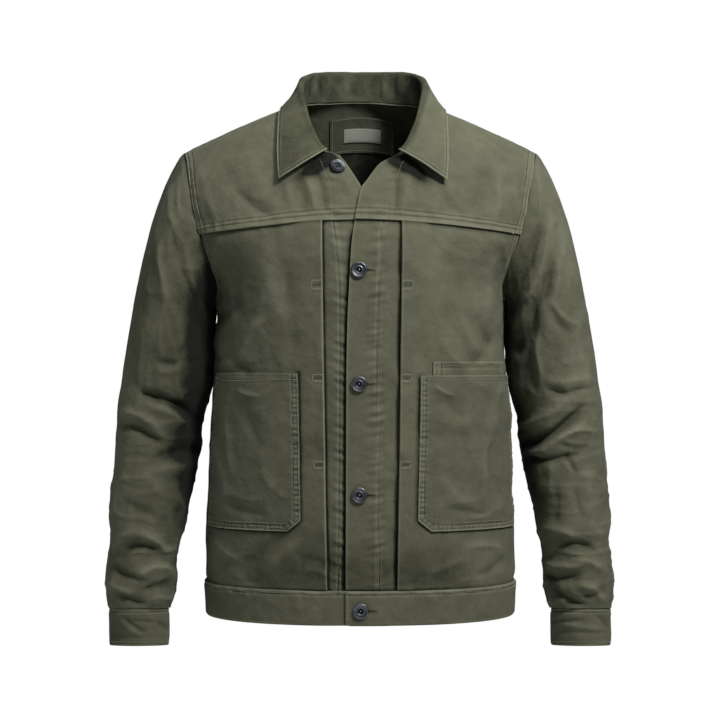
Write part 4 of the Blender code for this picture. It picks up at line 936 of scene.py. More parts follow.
def lower_front(side, word):
    length = YOKE_SEAM - BAND_TOP
    rows = BAND_TOP + SEAM + (length - 2 * SEAM) * shares(length, 2.0, 1.4, (0.0, length), 10.0)
    rows = np.concatenate([BAND_TOP - np.array([3.0, 1.0]), rows])      # tucked behind the band
    flat_part = shares(62.0, 2.6, 1.0, (0.0, 39.0), 5.0)
    side_part = shares(150.0, 2.6, 1.3, (150.0,), 14.0)[1:]
    armhole = np.linspace(UNDERARM, YOKE_SEAM, 300)
    armhole_edge = torso(side * armhole_angle(armhole), armhole)
    angles, outs = [], []
    for skin in (0, 2):
        angle_rows, out_rows = [], []
        for height in rows:
            edge = float(edge_of(side, height))
            fold = float(curve(*PLEAT_FOLD[side].T, height))
            flat = edge + (fold + 13.0 - edge) * flat_part
            drop = WALL + (PLACKET_WALL - WALL) * ramp(
                flat - edge, PLACKET_WIDTH, PLACKET_WIDTH - 1)
            lift = front_out(side, flat, height) - (drop if skin else 0.0)
            far = fold + PLEAT[-1, 0]
            limit = float(armhole_angle(height)) - (0.0 if height > UNDERARM else 0.05)
            start = float(angle_at(far, height))
            near = angle_at(np.concatenate([flat, fold + PLEAT[:, skin]]), height)
            beyond = start + (limit - start) * side_part
            fade = 0.5 * ramp(side_part, 0.12, 0.0) - (WALL if skin else 0.0)
            angle_rows.append(side * np.concatenate([near, beyond]))
            out_rows.append(np.concatenate([lift, PLEAT[:, skin + 1], fade]))
        angles.append(np.array(angle_rows))
        outs.append(np.array(out_rows))
    height = np.repeat(rows[:, None], angles[0].shape[1], axis=1)
    skins = []
    worn_and_shaded = 0.0
    for index in (0, 1):
        relief = front_relief(side, angles[index], height)
        spot = torso_point(angles[index], height)
        far, along = from_line(spot, armhole_edge)
        relief = relief + sewn(far, along, ARMHOLE_ROWS, 61, 0.40, roping=0.45)
        if index == 0:
            # Paler abraded cloth by the armhole rows, with painted shade in their grooves and along
            # the seam line.
            worn_and_shaded = rubbed_and_groove_shade(far, ARMHOLE_ROWS, along, 61) - 0.6 * bump(far, 0.0, 0.9)
        lift, sink = gape(side, side * across_at(angles[index], height), height)
        hidden = ramp(outs[index], 1.75 if index == 0 else 1.68, 1.9)
        if side == RIGHT:
            lap = side * across_at(angles[index], height) + edge_of(LEFT, height)
            sink = sink - 1.6 * bump(lap, -1.0, 8.0) * ramp(height, 60.0, 20.0)
        relief = relief + lift * hidden + sink * (1 - hidden)
        relief = relief + (0.4 - relief) * ramp(height, BAND_TOP + 9.0, BAND_TOP)
        relief = relief - outs[0] * ramp(height, BAND_TOP + 1.0, BAND_TOP - 0.6)
        skins.append(torso(angles[index], height, outs[index] + relief - pressed(height)))
    across = side * across_at(angles[0], height)
    inset = across - edge_of(side, height)
    fold = curve(*PLEAT_FOLD[side].T, height)
    top_layer = outs[0] > 1.5
    worn_and_shaded = worn_and_shaded + 1.2 * bump(inset, 0.0, 1.4) * (outs[0] < 1.8)
    worn_and_shaded = worn_and_shaded + 1.4 * bump(across - fold, 0.2, 1.2) * top_layer
    # Painted shade in the pleat's groove, under its fold.
    worn_and_shaded = worn_and_shaded - 2.0 * bump(across - fold, -0.5, 2.6) * ~top_layer
    # Painted shadow on the right front under the left front's edge.
    if side == RIGHT:
        lap = bump(across + edge_of(LEFT, height), 0.0, 4.6)
        worn_and_shaded = worn_and_shaded - 2.0 * lap * ramp(height, 66.0, 50.0)
    # Paler beside the stand's stitches, painted shade in their groove.
    far = inset - curve(*STAND_STITCH[side].T, height)
    worn_and_shaded = worn_and_shaded + 0.6 * bump(far, -2.5, 1.8) + 0.5 * bump(far, 2.0, 1.2) - 0.9 * bump(far, 0, 0.9)
    # Darker in a band just above the waistband, towards the middle.
    worn_and_shaded = worn_and_shaded - 0.85 * bump(height, -343.0, 30.0) * ramp(across, 170.0, 105.0)
    # Painted shade along the yoke and waistband seams.
    worn_and_shaded = worn_and_shaded - 0.9 * bump(height, YOKE_SEAM, 3.0) - 0.8 * bump(height, BAND_TOP, 3.0)
    # Painted shadow round the pocket's edge.
    worn_and_shaded = worn_and_shaded - 1.9 * bump(from_line(torso_point(angles[0], height), pocket_outline(side))[0],
                             0.0, 2.6)
    # Painted shade in the crease hollows and painted light on their ridges.
    worn_and_shaded = worn_and_shaded + 0.09 * np.clip(front_relief(side, angles[0], height), -4, 4)
    # Painted shade in the tack boxes' stitched lines and below them, paler at their edges.
    span = ramp(across - fold, 0.0, 1.5) * ramp(across - fold, 14.5, 12.5)
    for level in TACKS:
        worn_and_shaded = worn_and_shaded - 1.1 * span * bump(height, level, 1.5)
        worn_and_shaded = worn_and_shaded - 0.5 * span * bump(height, level - 6, 1.5)
        worn_and_shaded = worn_and_shaded + 0.7 * span * (bump(height, level + 3.7, 1.2) + bump(height, level - 3.7, 1.2))
    piece = sheet_piece(f"cloth_front_{word}", skins[0], skins[1], twill(f"twill_front_{word}"),
                        worn_and_shaded)
    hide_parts(f"front_{word}")
    heights = np.linspace(BAND_TOP + 3, YOKE_SEAM - 1, 900)
    inset = edge_of(side, heights) + curve(*STAND_STITCH[side].T, heights)
    lines = [seam_line(side * angle_at(inset, heights), heights)]
    for inset in ARMHOLE_ROWS:
        turn = armhole_angle(armhole) - np.degrees(inset / SIDE_RADIUS)
        lines.append(seam_line(side * turn, armhole + 1.5))
    boxes = []
    for level in TACKS:
        fold = float(curve(*PLEAT_FOLD[side].T, level))
        box = [(0.8, -3.7), (13.2, -3.7), (13.2, 3.7), (0.8, 3.7), (0.8, -3.7)]
        for (a0, h0), (a1, h1) in zip(box, box[1:]):
            part = np.linspace(0, 1, 20)
            place = fold + a0 + (a1 - a0) * part
            rise = level + h0 + (h1 - h0) * part
            boxes.append(seam_line(side * angle_at(place, rise), rise, 7.0))
    sew(f"thread_front_{word}", piece, lines)
    sew(f"thread_tacks_{word}", piece, boxes, 1.7, 0.6, 0.1)
    return piece


fronts = {side: lower_front(side, word) for side, word in SIDES}


# ------------------------------------------------------------------ front yokes
# One yoke for each side, from the chest seam up to the shoulder.  The lower edge is folded under
# and sewn over the front with two rows; the button stand runs on up to the open neck.
CORNER = 146.0
NECK_START = 147.6            # where the neckline meets the front edge
YOKE_ROWS = (5.6, 10.8)
SHOULDER_LINE = 266.0         # the pressed line along the shoulder, as it shows in front


def yoke_fold(side, across, height):
    """How far the folded lower edge stands out, flat where the left stand laps over it."""
    fold = 1.3 * bump(height, YOKE_SEAM, 11.0)
    return fold * ramp(across, 12.0, 34.0) if side == RIGHT else fold


def front_yoke(side, word):
    low = YOKE_SEAM + SEAM + (CORNER - YOKE_SEAM - SEAM) * shares(77.0, 2.4, 1.0, (0.0, 11.0), 6.0)
    high = NECK_START + (SHOULDER_SEAM - SEAM - NECK_START) * shares(
        150.0, 3.0, 1.2, (0.0, 122.0, 150.0))
    heights = np.concatenate([low, high])
    part = shares(215.0, 2.8, 1.1, (0.0, 36.0, 203.0, 215.0), 8.0)
    start = np.where(heights <= CORNER, edge_of(side, heights), neck_place(side, heights))
    first = angle_at(start, heights)
    turns = first[:, None] + (armhole_angle(heights) - first)[:, None] * part[None, :]
    height = np.repeat(heights[:, None], len(part), axis=1)
    across = across_at(turns, height)
    spot = torso_point(side * turns, height)
    armhole = np.linspace(YOKE_SEAM, SHOULDER_SEAM, 500)
    far, along = from_line(spot, torso(side * armhole_angle(armhole), armhole))
    relief = body_relief(side * turns, height) + sewn(
        far, along, ARMHOLE_ROWS, 71, 0.4, roping=0.45)
    relief = relief * ramp(height, SHOULDER_SEAM, SHOULDER_SEAM - 25.0)
    fold = yoke_fold(side, across, height)
    relief = relief + sewn(height - YOKE_SEAM, across, YOKE_ROWS, 73, 0.35, 6.0, roping=0.25)
    relief = relief + stand_relief(side, across, height) * ramp(height, 150.0, 135.0)
    base = front_out(side, across, height)
    thick = WALL + (PLACKET_WALL - WALL) * ramp(across - start[:, None], 42.0, 34.0)
    relief = relief - 0.8 * bump(height, SHOULDER_LINE, 2.0)
    hollow = 0.8 * bump(across, 40.0, 14.0) * bump(height, 118.0, 26.0)
    relief = relief - hollow
    worn_and_shaded = rubbed_and_groove_shade(far, ARMHOLE_ROWS, along, 71) + rubbed_and_groove_shade(height - YOKE_SEAM, YOKE_ROWS, across, 73)
    # Painted shadow under the collar leaf, darkest near the neck.
    share = np.linspace(0, 1, 200)
    drop = 137.0 - 31.0 * share
    below = side * angle_at(42.0 + 60.0 * share + side * NECK_SHIFT, drop)
    near, place = from_line(spot, torso_point(below, drop))
    worn_and_shaded = worn_and_shaded - 4.6 * ramp(place, 66.0, 0.0) * bump(near, 0.0, 9.0)
    # Painted light on the right yoke, lighter towards the armhole.
    worn_and_shaded = worn_and_shaded + (0.25 * ramp(across, 60.0, 120.0) if side == RIGHT else 0.0)
    # Paler abraded neck edge; painted shade along the pressed shoulder line, paler beside it.
    past = height - SHOULDER_LINE
    worn_and_shaded = worn_and_shaded + 0.8 * bump(across - start[:, None], 0, 1.6) - 2.2 * bump(past, 0.0, 1.7)
    worn_and_shaded = worn_and_shaded + 0.9 * bump(past, 4.0, 2.2) + 0.5 * bump(past, -5.0, 2.2)
    # Painted shade in the crease hollows and painted light on their ridges.
    worn_and_shaded = worn_and_shaded + 0.09 * np.clip(body_relief(side * turns, height), -4, 4)
    outer = torso(side * turns, height, base + fold + relief)
    inner = torso(side * turns, height, base + relief - thick)
    # The inner face gets painted shade; 1.03 is a lighter copy of the twill, painted light.
    piece = sheet_piece(f"cloth_yoke_front_{word}", outer, inner,
                        twill(f"twill_yoke_front_{word}", 1.03), worn_and_shaded, -0.5)
    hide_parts(f"yoke_front_{word}")
    lines = []
    for inset in YOKE_ROWS:
        level = YOKE_SEAM + inset
        begin = float(angle_at(edge_of(side, level), level)) + 0.8
        if side == RIGHT:
            begin = float(angle_at(14.0, level))
        turn = np.linspace(begin, float(armhole_angle(level)) - 1.0, 500)
        lines.append(seam_line(side * turn, np.full(500, level), 4.5))
    for inset in ARMHOLE_ROWS:
        turn = armhole_angle(armhole) - np.degrees(inset / 160.0)
        lines.append(seam_line(side * turn, armhole + 1.0))
    stand = np.linspace(YOKE_SEAM + 1.0, 138.0, 200)
    inset = edge_of(side, stand) + curve(*STAND_STITCH[side].T, stand)
    lift = front_out(side, inset, stand) + 3.0
    lines.append(torso(side * angle_at(inset, stand), stand, lift))
    sew(f"thread_yoke_front_{word}", piece, lines)
    return piece


front_yokes = {side: front_yoke(side, word) for side, word in SIDES}


# ------------------------------------------------------------------ pockets
# A big patch pocket on each hip, its lower inner corner cut off, hemmed along the mouth and sewn
# round with two rows that rope between them.  The left one has a narrow tool pocket behind it.
POCKET_ROWS = (2.2, 7.7)
POCKET_HEM = 9.4              # the row of stitches below the mouth
POCKET_RADIUS = 125.0         # of the body's bend at the pocket's outer edge
POCKET_CREASES = (
    (230, 400, 234, 470, 2, 5.0, 1.5, 0.2), (216, 440, 226, 512, -3, 6.0, 1.3, 0.2),
    (246, 404, 268, 452, 3, 9.0, -0.9, 0.0), (262, 470, 288, 500, 2, 7.0, 0.9, 0.0),
    (226, 500, 262, 516, 2, 5.0, -1.0, 0.0), (240, 390, 262, 396, 1, 3.5, 0.8, 0.3),
    (487, 410, 484, 505, 2, 4.0, 1.6, 0.2), (496, 380, 490, 440, 1, 5.0, 1.1, 0.0),
    (434, 386, 452, 396, 1, 3.5, 1.1, 0.3), (444, 398, 462, 420, 2, 6.0, -0.8, 0.0),
    (440, 476, 470, 508, 3, 8.0, 1.0, 0.0), (450, 508, 486, 514, 1, 4.0, -1.0, 0.0),
    (468, 520, 500, 506, 2, 5.0, 0.9, 0.0), (462, 412, 478, 460, 3, 9.0, 0.8, 0.0),
)


def panel_out(side, across, height):
    fold = curve(*PLEAT_FOLD[side].T, height)
    return curve(np.append(PLEAT[13:, 0], 60.0), np.append(PLEAT[13:, 1], 0.0),
                 across - fold) - pressed(height)


def pocket_creases(spot):
    across, down = view_place(spot)
    across = across + 1.8 * mottle(spot, 22.0, 81)
    down = down + 1.8 * mottle(spot, 22.0, 82)
    return creases(across, down, POCKET_CREASES)


def hip_pocket(side, word):
    mouth = POCKET_TOP[side]
    deep = mouth - POCKET_BOTTOM
    rows = POCKET_BOTTOM + deep * shares(192.0, 1.35, 0.9, (0.0, 9.0, 183.0, 192.0), 6.0)
    part = shares(112.0, 1.7, 0.9, (0.0, 9.0, 103.0, 112.0), 6.0)
    first = angle_at(pocket_start(side, rows), rows)
    turns = first[:, None] + (POCKET_OUTER[side] - first)[:, None] * part[None, :]
    height = np.repeat(rows[:, None], len(part), axis=1)
    across = across_at(turns, height)
    belly = np.sin(math.pi * np.clip(part, 0, 1)) ** 0.8
    ajar = 3.0 * belly * ramp(height, mouth - 90, mouth)
    slack = 1.6 * belly * ramp(height, POCKET_BOTTOM, POCKET_BOTTOM + 40)
    tool = 2.0 * ramp(height, -180.0, -158.0) if side == LEFT else 0.0
    spot = torso_point(side * turns, height)
    base = (panel_out(side, across, height) + front_relief(side, side * turns, height)
            + 0.35 + ajar + slack + tool)
    far, along = from_line(spot, pocket_outline(side))
    open_edge = np.minimum(far, mouth - height)
    hem = mouth - height
    relief = sewn(far, along, POCKET_ROWS, 83, 0.45, 4.6, 7.0, 1.1)
    relief = relief + 0.45 * ramp(hem, 11.3, 9.8) - 0.30 * bump(hem, POCKET_HEM, 1.2)
    relief = relief + 0.25 * mottle(np.stack([across, 0 * across, 0 * across], -1), 7.0, 85) * bump(
        hem, 6.0, 7.0)
    relief = relief + 2.0 * pocket_creases(spot) * ramp(open_edge, 5.0, 18.0)
    relief = relief + 0.4 * bump(open_edge, 1.0, 2.0)
    # Painted shade in the crease hollows and stitched grooves, painted light on ridges; paler
    # abraded edges and mouth.
    worn_and_shaded = (0.10 * np.clip(relief, -3, 3) + rubbed_and_groove_shade(far, POCKET_ROWS, along, 83, 1.3)
            + 1.3 * bump(hem, 0.0, 1.5) - 0.3 * bump(hem, POCKET_HEM, 0.9))
    worn_and_shaded = worn_and_shaded + 0.3 * bump(hem, 11.0, 1.2) + 0.25 * bump(hem, 4.0, 3.0)
    # 0.90 makes a darker copy of the twill, painted shade on the pockets.
    piece = sheet_piece(f"cloth_pocket_{word}", torso(side * turns, height, base + WALL + relief),
                        torso(side * turns, height, base + np.minimum(relief, 0.0)),
                        twill(f"twill_pocket_{word}", 0.90), worn_and_shaded)
    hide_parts(f"pocket_{word}")
    lines = []
    corner = POCKET_BOTTOM + POCKET_CUT[1]
    slope = POCKET_CUT[1] / math.hypot(*POCKET_CUT)
    for inset in POCKET_ROWS:
        straight = np.linspace(mouth - 1.0, corner + 0.45 * inset, 300)
        begin = pocket_start(side, straight) + inset
        path = [(across_now, rise) for across_now, rise in zip(begin, straight)]
        low = POCKET_BOTTOM + inset
        turn_in = pocket_start(side, POCKET_BOTTOM) + 0.35 * inset
        path.append((turn_in, low))
        stop = float(across_at(POCKET_OUTER[side] - np.degrees(inset / POCKET_RADIUS), low))
        path += [(place, low) for place in np.linspace(turn_in + 1, stop, 120)]
        path = np.array(path)
        lines.append(torso(side * angle_at(path[:, 0], path[:, 1]), path[:, 1], 9.0))
        rise = np.linspace(low, mouth - 1.0, 300)
        turn = np.full(300, POCKET_OUTER[side] - np.degrees(inset / POCKET_RADIUS))
        lines.append(torso(side * turn, rise, 8.0))
    place = np.linspace(float(pocket_start(side, mouth)) + 2,
                        float(across_at(POCKET_OUTER[side], mouth)) - 2, 200)
    level = mouth - POCKET_HEM
    lines.append(torso(side * angle_at(place, level), np.full(200, level), 10.0))
    sew(f"thread_pocket_{word}", piece, lines, 2.9)
    return piece


hip_pockets = {side: hip_pocket(side, word) for side, word in SIDES}

TOOL_TOP = -85.5
TOOL_LOW = -150.0             # hidden behind the left pocket from here on
TOOL_START = 89.6             # its inner edge, across
TOOL_STOP = 70.0              # its outer edge, degrees
TOOL_WIDE = 98.0
TOOL_ROWS = (2.2, 8.0)
TOOL_HEM = 6.5
tool_rows = TOOL_LOW + (TOOL_TOP - TOOL_LOW) * shares(64.5, 2.6, 1.0, (57.0, 64.5), 5.0)
tool_part = shares(TOOL_WIDE, 2.6, 1.0, (0.0, 8.0, 90.0, TOOL_WIDE), 5.0)
tool_first = angle_at(TOOL_START, tool_rows)
tool_turns = tool_first[:, None] + (TOOL_STOP - tool_first)[:, None] * tool_part[None, :]
tool_height = np.repeat(tool_rows[:, None], len(tool_part), axis=1)
tool_across = across_at(tool_turns, tool_height)
tool_base = (panel_out(LEFT, tool_across, tool_height)
             + front_relief(LEFT, tool_turns, tool_height) + 0.55)
tool_side = np.minimum(tool_part, 1 - tool_part)[None, :] * TOOL_WIDE
tool_hem = TOOL_TOP - tool_height
tool_relief = (-0.28 * bump(tool_side, TOOL_ROWS[0], 1.1)
               - 0.28 * bump(tool_side, TOOL_ROWS[1], 1.1)
               - 0.25 * bump(tool_hem, TOOL_HEM, 1.1) + 0.3 * bump(tool_hem, 1.0, 2.0)
               + 0.3 * mottle(torso_point(tool_turns, tool_height), 8.0, 87))
# Paler abraded edges and mouth, painted shade in the stitched grooves.
tool_worn_and_shaded = (1.4 * bump(tool_hem, 0.0, 1.6) + rubbed_and_groove_shade(tool_side, TOOL_ROWS, tool_height, 88)
             - 0.7 * bump(tool_hem, TOOL_HEM, 0.9) + 0.5 * bump(tool_hem, 9.4, 1.2))
# 0.98 makes a slightly darker copy of the twill, painted shade.
tool_pocket = sheet_piece(
    "cloth_pocket_tool", torso(tool_turns, tool_height, tool_base + WALL + tool_relief),
    torso(tool_turns, tool_height, tool_base), twill("twill_pocket_tool", 0.98), tool_worn_and_shaded)
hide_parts("pocket_tool")
tool_lines = []
for tool_inset in TOOL_ROWS:
    rise = np.linspace(POCKET_TOP[LEFT] + 1, TOOL_TOP - 1, 60)
    start_turn = angle_at(TOOL_START, rise) + np.degrees(tool_inset / 137.0)
    tool_lines.append(torso(start_turn, rise, 6.0))
    stop_turn = TOOL_STOP - np.degrees(tool_inset / POCKET_RADIUS)
    tool_lines.append(torso(np.full(60, stop_turn), rise, 6.0))
place = np.linspace(91.0, float(across_at(TOOL_STOP, TOOL_TOP)) - 1, 120)
tool_level = TOOL_TOP - TOOL_HEM
tool_lines.append(torso(angle_at(place, tool_level), np.full(120, tool_level), 6.0))
sew("thread_pocket_tool", tool_pocket, tool_lines, 2.9)


# ------------------------------------------------------------------ sleeves
# Two-piece sleeves in the same twill, set into the armholes with the seam pressed to the body.
# They hang a little bent: drag folds from the shoulder, deep creases inside the elbow and loose
# bunching above the cuff, all listed.
SLEEVE = np.array([           # level, centre x, half width, centre y, half depth
    (-250.0, 240.1, 52.9, 0.0, 75.0), (-292.0, 244.7, 56.3, 1.0, 74.0),
    (-330.0, 248.3, 58.7, 3.0, 72.5), (-350.0, 250.6, 59.0, 3.0, 71.5),
    (-366.0, 254.5, 58.4, 3.0, 70.2), (-381.0, 257.8, 57.0, 2.5, 69.0),
    (-396.0, 260.0, 55.0, 2.0, 68.0), (-411.0, 261.2, 55.0, 1.0, 67.0),
    (-428.0, 262.0, 55.0, 0.0, 65.5), (-461.0, 265.6, 53.2, -3.0, 63.0),
    (-500.0, 272.2, 51.2, -7.0, 60.0), (-526.0, 274.8, 49.2, -10.0, 58.0),
    (-542.0, 275.4, 46.6, -12.0, 56.0), (-556.0, 277.0, 44.4, -13.5, 53.5),
    (-570.0, 279.6, 44.0, -15.5, 51.5), (-584.0, 280.6, 44.6, -16.5, 51.0),
    (-598.0, 280.6, 45.6, -17.5, 51.0), (-612.0, 281.4, 45.2, -18.5, 50.0),
    (-625.0, 282.8, 43.4, -19.5, 46.5), (-637.7, 284.0, 39.4, -20.0, 42.6),
])
SLEEVE_SQUARE = 2 / 2.15
WRIST_TILT = 0.12             # the wrists tip up a little at the front
ARMHOLE_GAP = 0.6
CAP_END = -250.0              # the level where the cap ends and the rings begin
CAP_LONG = 190.0
ARM_LONG = 387.7
ELBOW_ROWS = (2.2, 8.4)
SEAM_UNDER = 165.0            # degrees round the arm from its outer line, forwards
SEAM_ELBOW = 285.0
CAP_LEAD = np.array([         # round, outwards, back, up
    (0.0, 0.62, 0.00, -0.78), (45.0, 0.66, -0.22, -0.72), (90.0, 0.62, -0.34, -0.71),
    (135.0, 0.66, -0.30, -0.69), (180.0, 0.90, 0.00, -0.44), (225.0, 0.66, 0.30, -0.69),
    (270.0, 0.62, 0.34, -0.71), (315.0, 0.66, 0.22, -0.72), (360.0, 0.62, 0.00, -0.78),
])
SLEEVE_CREASES = {
    RIGHT: (                  # across, down, to across, to down, bow, half width, rise, skew
        (172, 180, 178, 250, 3, 4.5, 1.8, 0.3), (178, 250, 193, 286, 1, 4.5, 1.6, 0.3),
        (172, 226, 198, 300, 3, 4.5, -2.6, 0.0), (186, 250, 212, 326, 4, 6.0, 2.4, 0.2),
        (160, 246, 168, 300, 2, 5.0, 1.9, 0.3), (150, 226, 158, 276, 2, 7.0, -0.9, 0.0),
        (196, 300, 214, 360, 3, 8.0, -2.2, 0.0), (172, 306, 182, 348, -2, 6.0, 1.4, 0.0),
        (150, 300, 140, 372, -3, 9.0, 1.2, 0.0), (158, 360, 184, 361, 3, 4.0, -2.2, 0.2),
        (160, 372, 186, 356, 5, 4.5, 1.6, 0.0), (140, 388, 162, 400, 2, 4.5, -3.0, 0.2),
        (144, 392, 196, 418, -4, 4.8, -5.0, 0.3), (150, 404, 190, 430, -4, 6.0, 3.0, 0.2),
        (120, 424, 160, 441, -2, 4.6, -4.2, 0.3), (122, 412, 158, 427, -2, 5.5, 2.4, 0.0),
        (152, 462, 206, 446, -3, 6.0, -3.6, 0.2), (140, 476, 198, 466, -3, 7.0, 2.0, 0.0),
        (126, 500, 156, 514, 2, 6.0, -1.4, 0.2), (176, 486, 190, 528, 2, 6.0, 1.2, 0.0),
        (114, 548, 140, 528, -3, 5.5, 2.4, 0.0), (140, 530, 176, 552, 3, 5.5, 2.6, 0.0),
        (120, 552, 160, 552, -6, 5.5, -3.6, 0.2), (112, 566, 146, 580, 3, 5.0, -3.0, 0.3),
        (134, 580, 176, 570, -6, 5.0, 3.4, 0.0), (108, 582, 132, 594, 2, 4.6, 2.4, 0.0),
        (144, 590, 176, 584, -3, 4.6, -3.4, 0.2), (118, 592, 146, 604, 2, 4.0, -2.8, 0.2),
        (150, 600, 172, 598, -2, 4.0, 2.0, 0.0),
    ),
    LEFT: (
        (540, 220, 518, 284, -4, 6.5, -3.4, 0.2), (548, 214, 536, 280, -3, 4.0, 1.6, -0.2),
        (536, 280, 522, 302, -2, 4.0, 1.7, -0.2), (562, 222, 560, 266, -2, 4.0, 1.5, 0.2),
        (560, 266, 550, 306, -2, 4.0, 1.6, 0.2), (552, 262, 534, 312, -3, 6.0, -3.8, 0.2),
        (536, 306, 514, 356, -4, 8.0, -4.2, 0.0), (526, 300, 512, 340, -2, 5.0, 2.0, 0.0),
        (552, 302, 576, 324, 2, 4.0, 1.8, 0.4), (552, 312, 574, 334, 2, 5.0, -1.8, 0.0),
        (538, 336, 542, 376, 2, 4.0, 1.6, 0.2), (530, 346, 534, 392, 2, 6.0, -2.0, 0.0),
        (578, 344, 590, 400, 3, 8.0, 1.3, 0.0), (550, 389, 590, 388, 3, 4.2, -2.8, 0.3),
        (548, 380, 590, 378, 3, 5.0, 1.6, 0.0), (522, 444, 580, 410, 4, 5.0, -7.0, 0.3),
        (528, 456, 584, 424, 3, 5.5, 2.8, 0.2), (520, 426, 566, 402, 3, 6.0, 2.6, 0.0),
        (560, 440, 596, 432, -5, 4.0, 1.9, 0.0), (562, 444, 590, 444, 5, 3.5, -1.4, 0.0),
        (520, 458, 580, 453, 3, 4.2, -3.4, 0.3), (568, 454, 577, 476, 1, 3.2, -1.9, 0.3),
        (556, 486, 558, 524, 1, 5.0, -1.1, 0.3), (549, 462, 550, 500, -1, 5.0, 1.4, 0.0),
        (576, 488, 581, 516, 1, 3.6, -1.5, 0.2), (590, 470, 596, 540, 2, 7.0, 1.2, 0.0),
        (540, 530, 576, 538, -3, 5.5, 2.2, 0.0), (556, 549, 594, 550, -6, 4.8, -3.6, 0.3),
        (544, 560, 584, 566, 5, 5.0, 2.8, 0.0), (542, 574, 580, 576, 4, 5.0, -3.8, 0.2),
        (574, 562, 608, 572, -4, 5.0, 2.4, 0.0), (552, 588, 586, 606, 2, 4.2, -3.2, 0.3),
        (576, 584, 606, 600, -4, 4.6, 2.8, 0.0), (582, 594, 606, 590, 3, 4.0, -2.4, 0.0),
        (546, 600, 566, 604, -2, 4.0, 1.8, 0.0),
    ),
}
SLEEVE_BACK_CREASES = {RIGHT: (
    (176, 200, 190, 300, 3, 8.0, 1.9, 0.2), (160, 230, 168, 330, 3, 8.0, -1.8, 0.0),
    (146, 380, 196, 396, 4, 6.0, 2.4, 0.2), (132, 404, 200, 424, 5, 6.0, -3.4, 0.2),
    (126, 430, 196, 446, 4, 6.5, 2.8, 0.0), (140, 462, 196, 458, -3, 6.0, -2.4, 0.0),
    (118, 540, 172, 552, 4, 5.5, 2.6, 0.0), (114, 560, 170, 566, 3, 5.0, -3.2, 0.2),
    (112, 578, 172, 586, 3, 5.0, 2.6, 0.0), (116, 598, 160, 600, 2, 4.0, -2.4, 0.0),
)}
SLEEVE_BACK_CREASES[LEFT] = tuple(
    (721 - a0, d0, 721 - a1, d1, -bow, half, rise, -skew)
    for a0, d0, a1, d1, bow, half, rise, skew in SLEEVE_BACK_CREASES[RIGHT])


def armhole_loop(side, turns, depth=0.0):
    """Points just outside the armhole, by degrees round the arm from the shoulder tip forwards."""
    down = np.linspace(RIDGE_HEIGHT, UNDERARM, 240)
    loops = []
    for beyond in (0.0, 0.5):
        front = torso(side * (armhole_angle(down) + beyond), down, -depth)
        back = torso(side * (180 - armhole_angle(down) - beyond), down, -depth)[::-1]
        loops.append(np.concatenate([front, back[1:]]))
    edge, past = loops
    along = unit(np.gradient(edge, axis=0))
    away = past - edge
    away -= along * np.sum(away * along, axis=1, keepdims=True)
    size = np.linalg.norm(away, axis=1, keepdims=True)
    under = np.exp(-((edge[:, 2:] - ARMPIT_Z + 12.0) / 14.0) ** 2)
    away = np.where(size > 1e-6, away / np.maximum(size, 1e-6), 0) * (1 - under)
    away = unit(away + under * np.array([0.0, 0.0, 1.0]))
    start = edge + away * (ARMHOLE_GAP + 0.6 * under)
    length = np.append(0, np.cumsum(np.linalg.norm(np.diff(edge, axis=0), axis=1)))
    place = np.asarray(turns) % 360 / 360 * length[-1]
    return np.stack([np.interp(place, length, start[:, axis]) for axis in range(3)], axis=-1)


def sleeve_ring(side, level, turns):
    centre_x, half, centre_y, depth = (curve(-SLEEVE[:, 0], SLEEVE[:, column], -level)
                                       for column in (1, 2, 3, 4))
    turn = np.radians(turns)
    x = side * (centre_x + half * power(np.cos(turn), SLEEVE_SQUARE))
    y = centre_y - depth * power(np.sin(turn), SLEEVE_SQUARE)
    tilt = WRIST_TILT * ramp(level, -540.0, -637.7) * (centre_y - y)
    return np.stack([x, y, level + tilt], axis=-1)


def sleeve_form(side, turns, cap, levels):
    """The smooth sleeve: rows from the armhole over the cap and down to the cuff."""
    start = armhole_loop(side, turns)
    lead = np.stack([curve(CAP_LEAD[:, 0], CAP_LEAD[:, column], np.asarray(turns) % 360)
                     for column in (1, 2, 3)], axis=-1)
    lead = unit(lead) * np.array([side, 1.0, 1.0])
    first = sleeve_ring(side, SLEEVE[0, 0], turns)
    onward = unit(sleeve_ring(side, SLEEVE[1, 0], turns) - first)
    reach = np.linalg.norm(first - start, axis=1, keepdims=True)
    rows = []
    for t in cap[:-1]:
        rows.append((1 + 2 * t) * (1 - t) ** 2 * start + t * t * (3 - 2 * t) * first
                    + t * (1 - t) ** 2 * 0.55 * reach * lead
                    - t * t * (1 - t) * 0.9 * reach * onward)
    for level in levels:
        rows.append(sleeve_ring(side, level, turns))
    return np.array(rows)


def outward(grid, side):
    return unit(np.cross(np.gradient(grid, axis=1), np.gradient(grid, axis=0))) * side


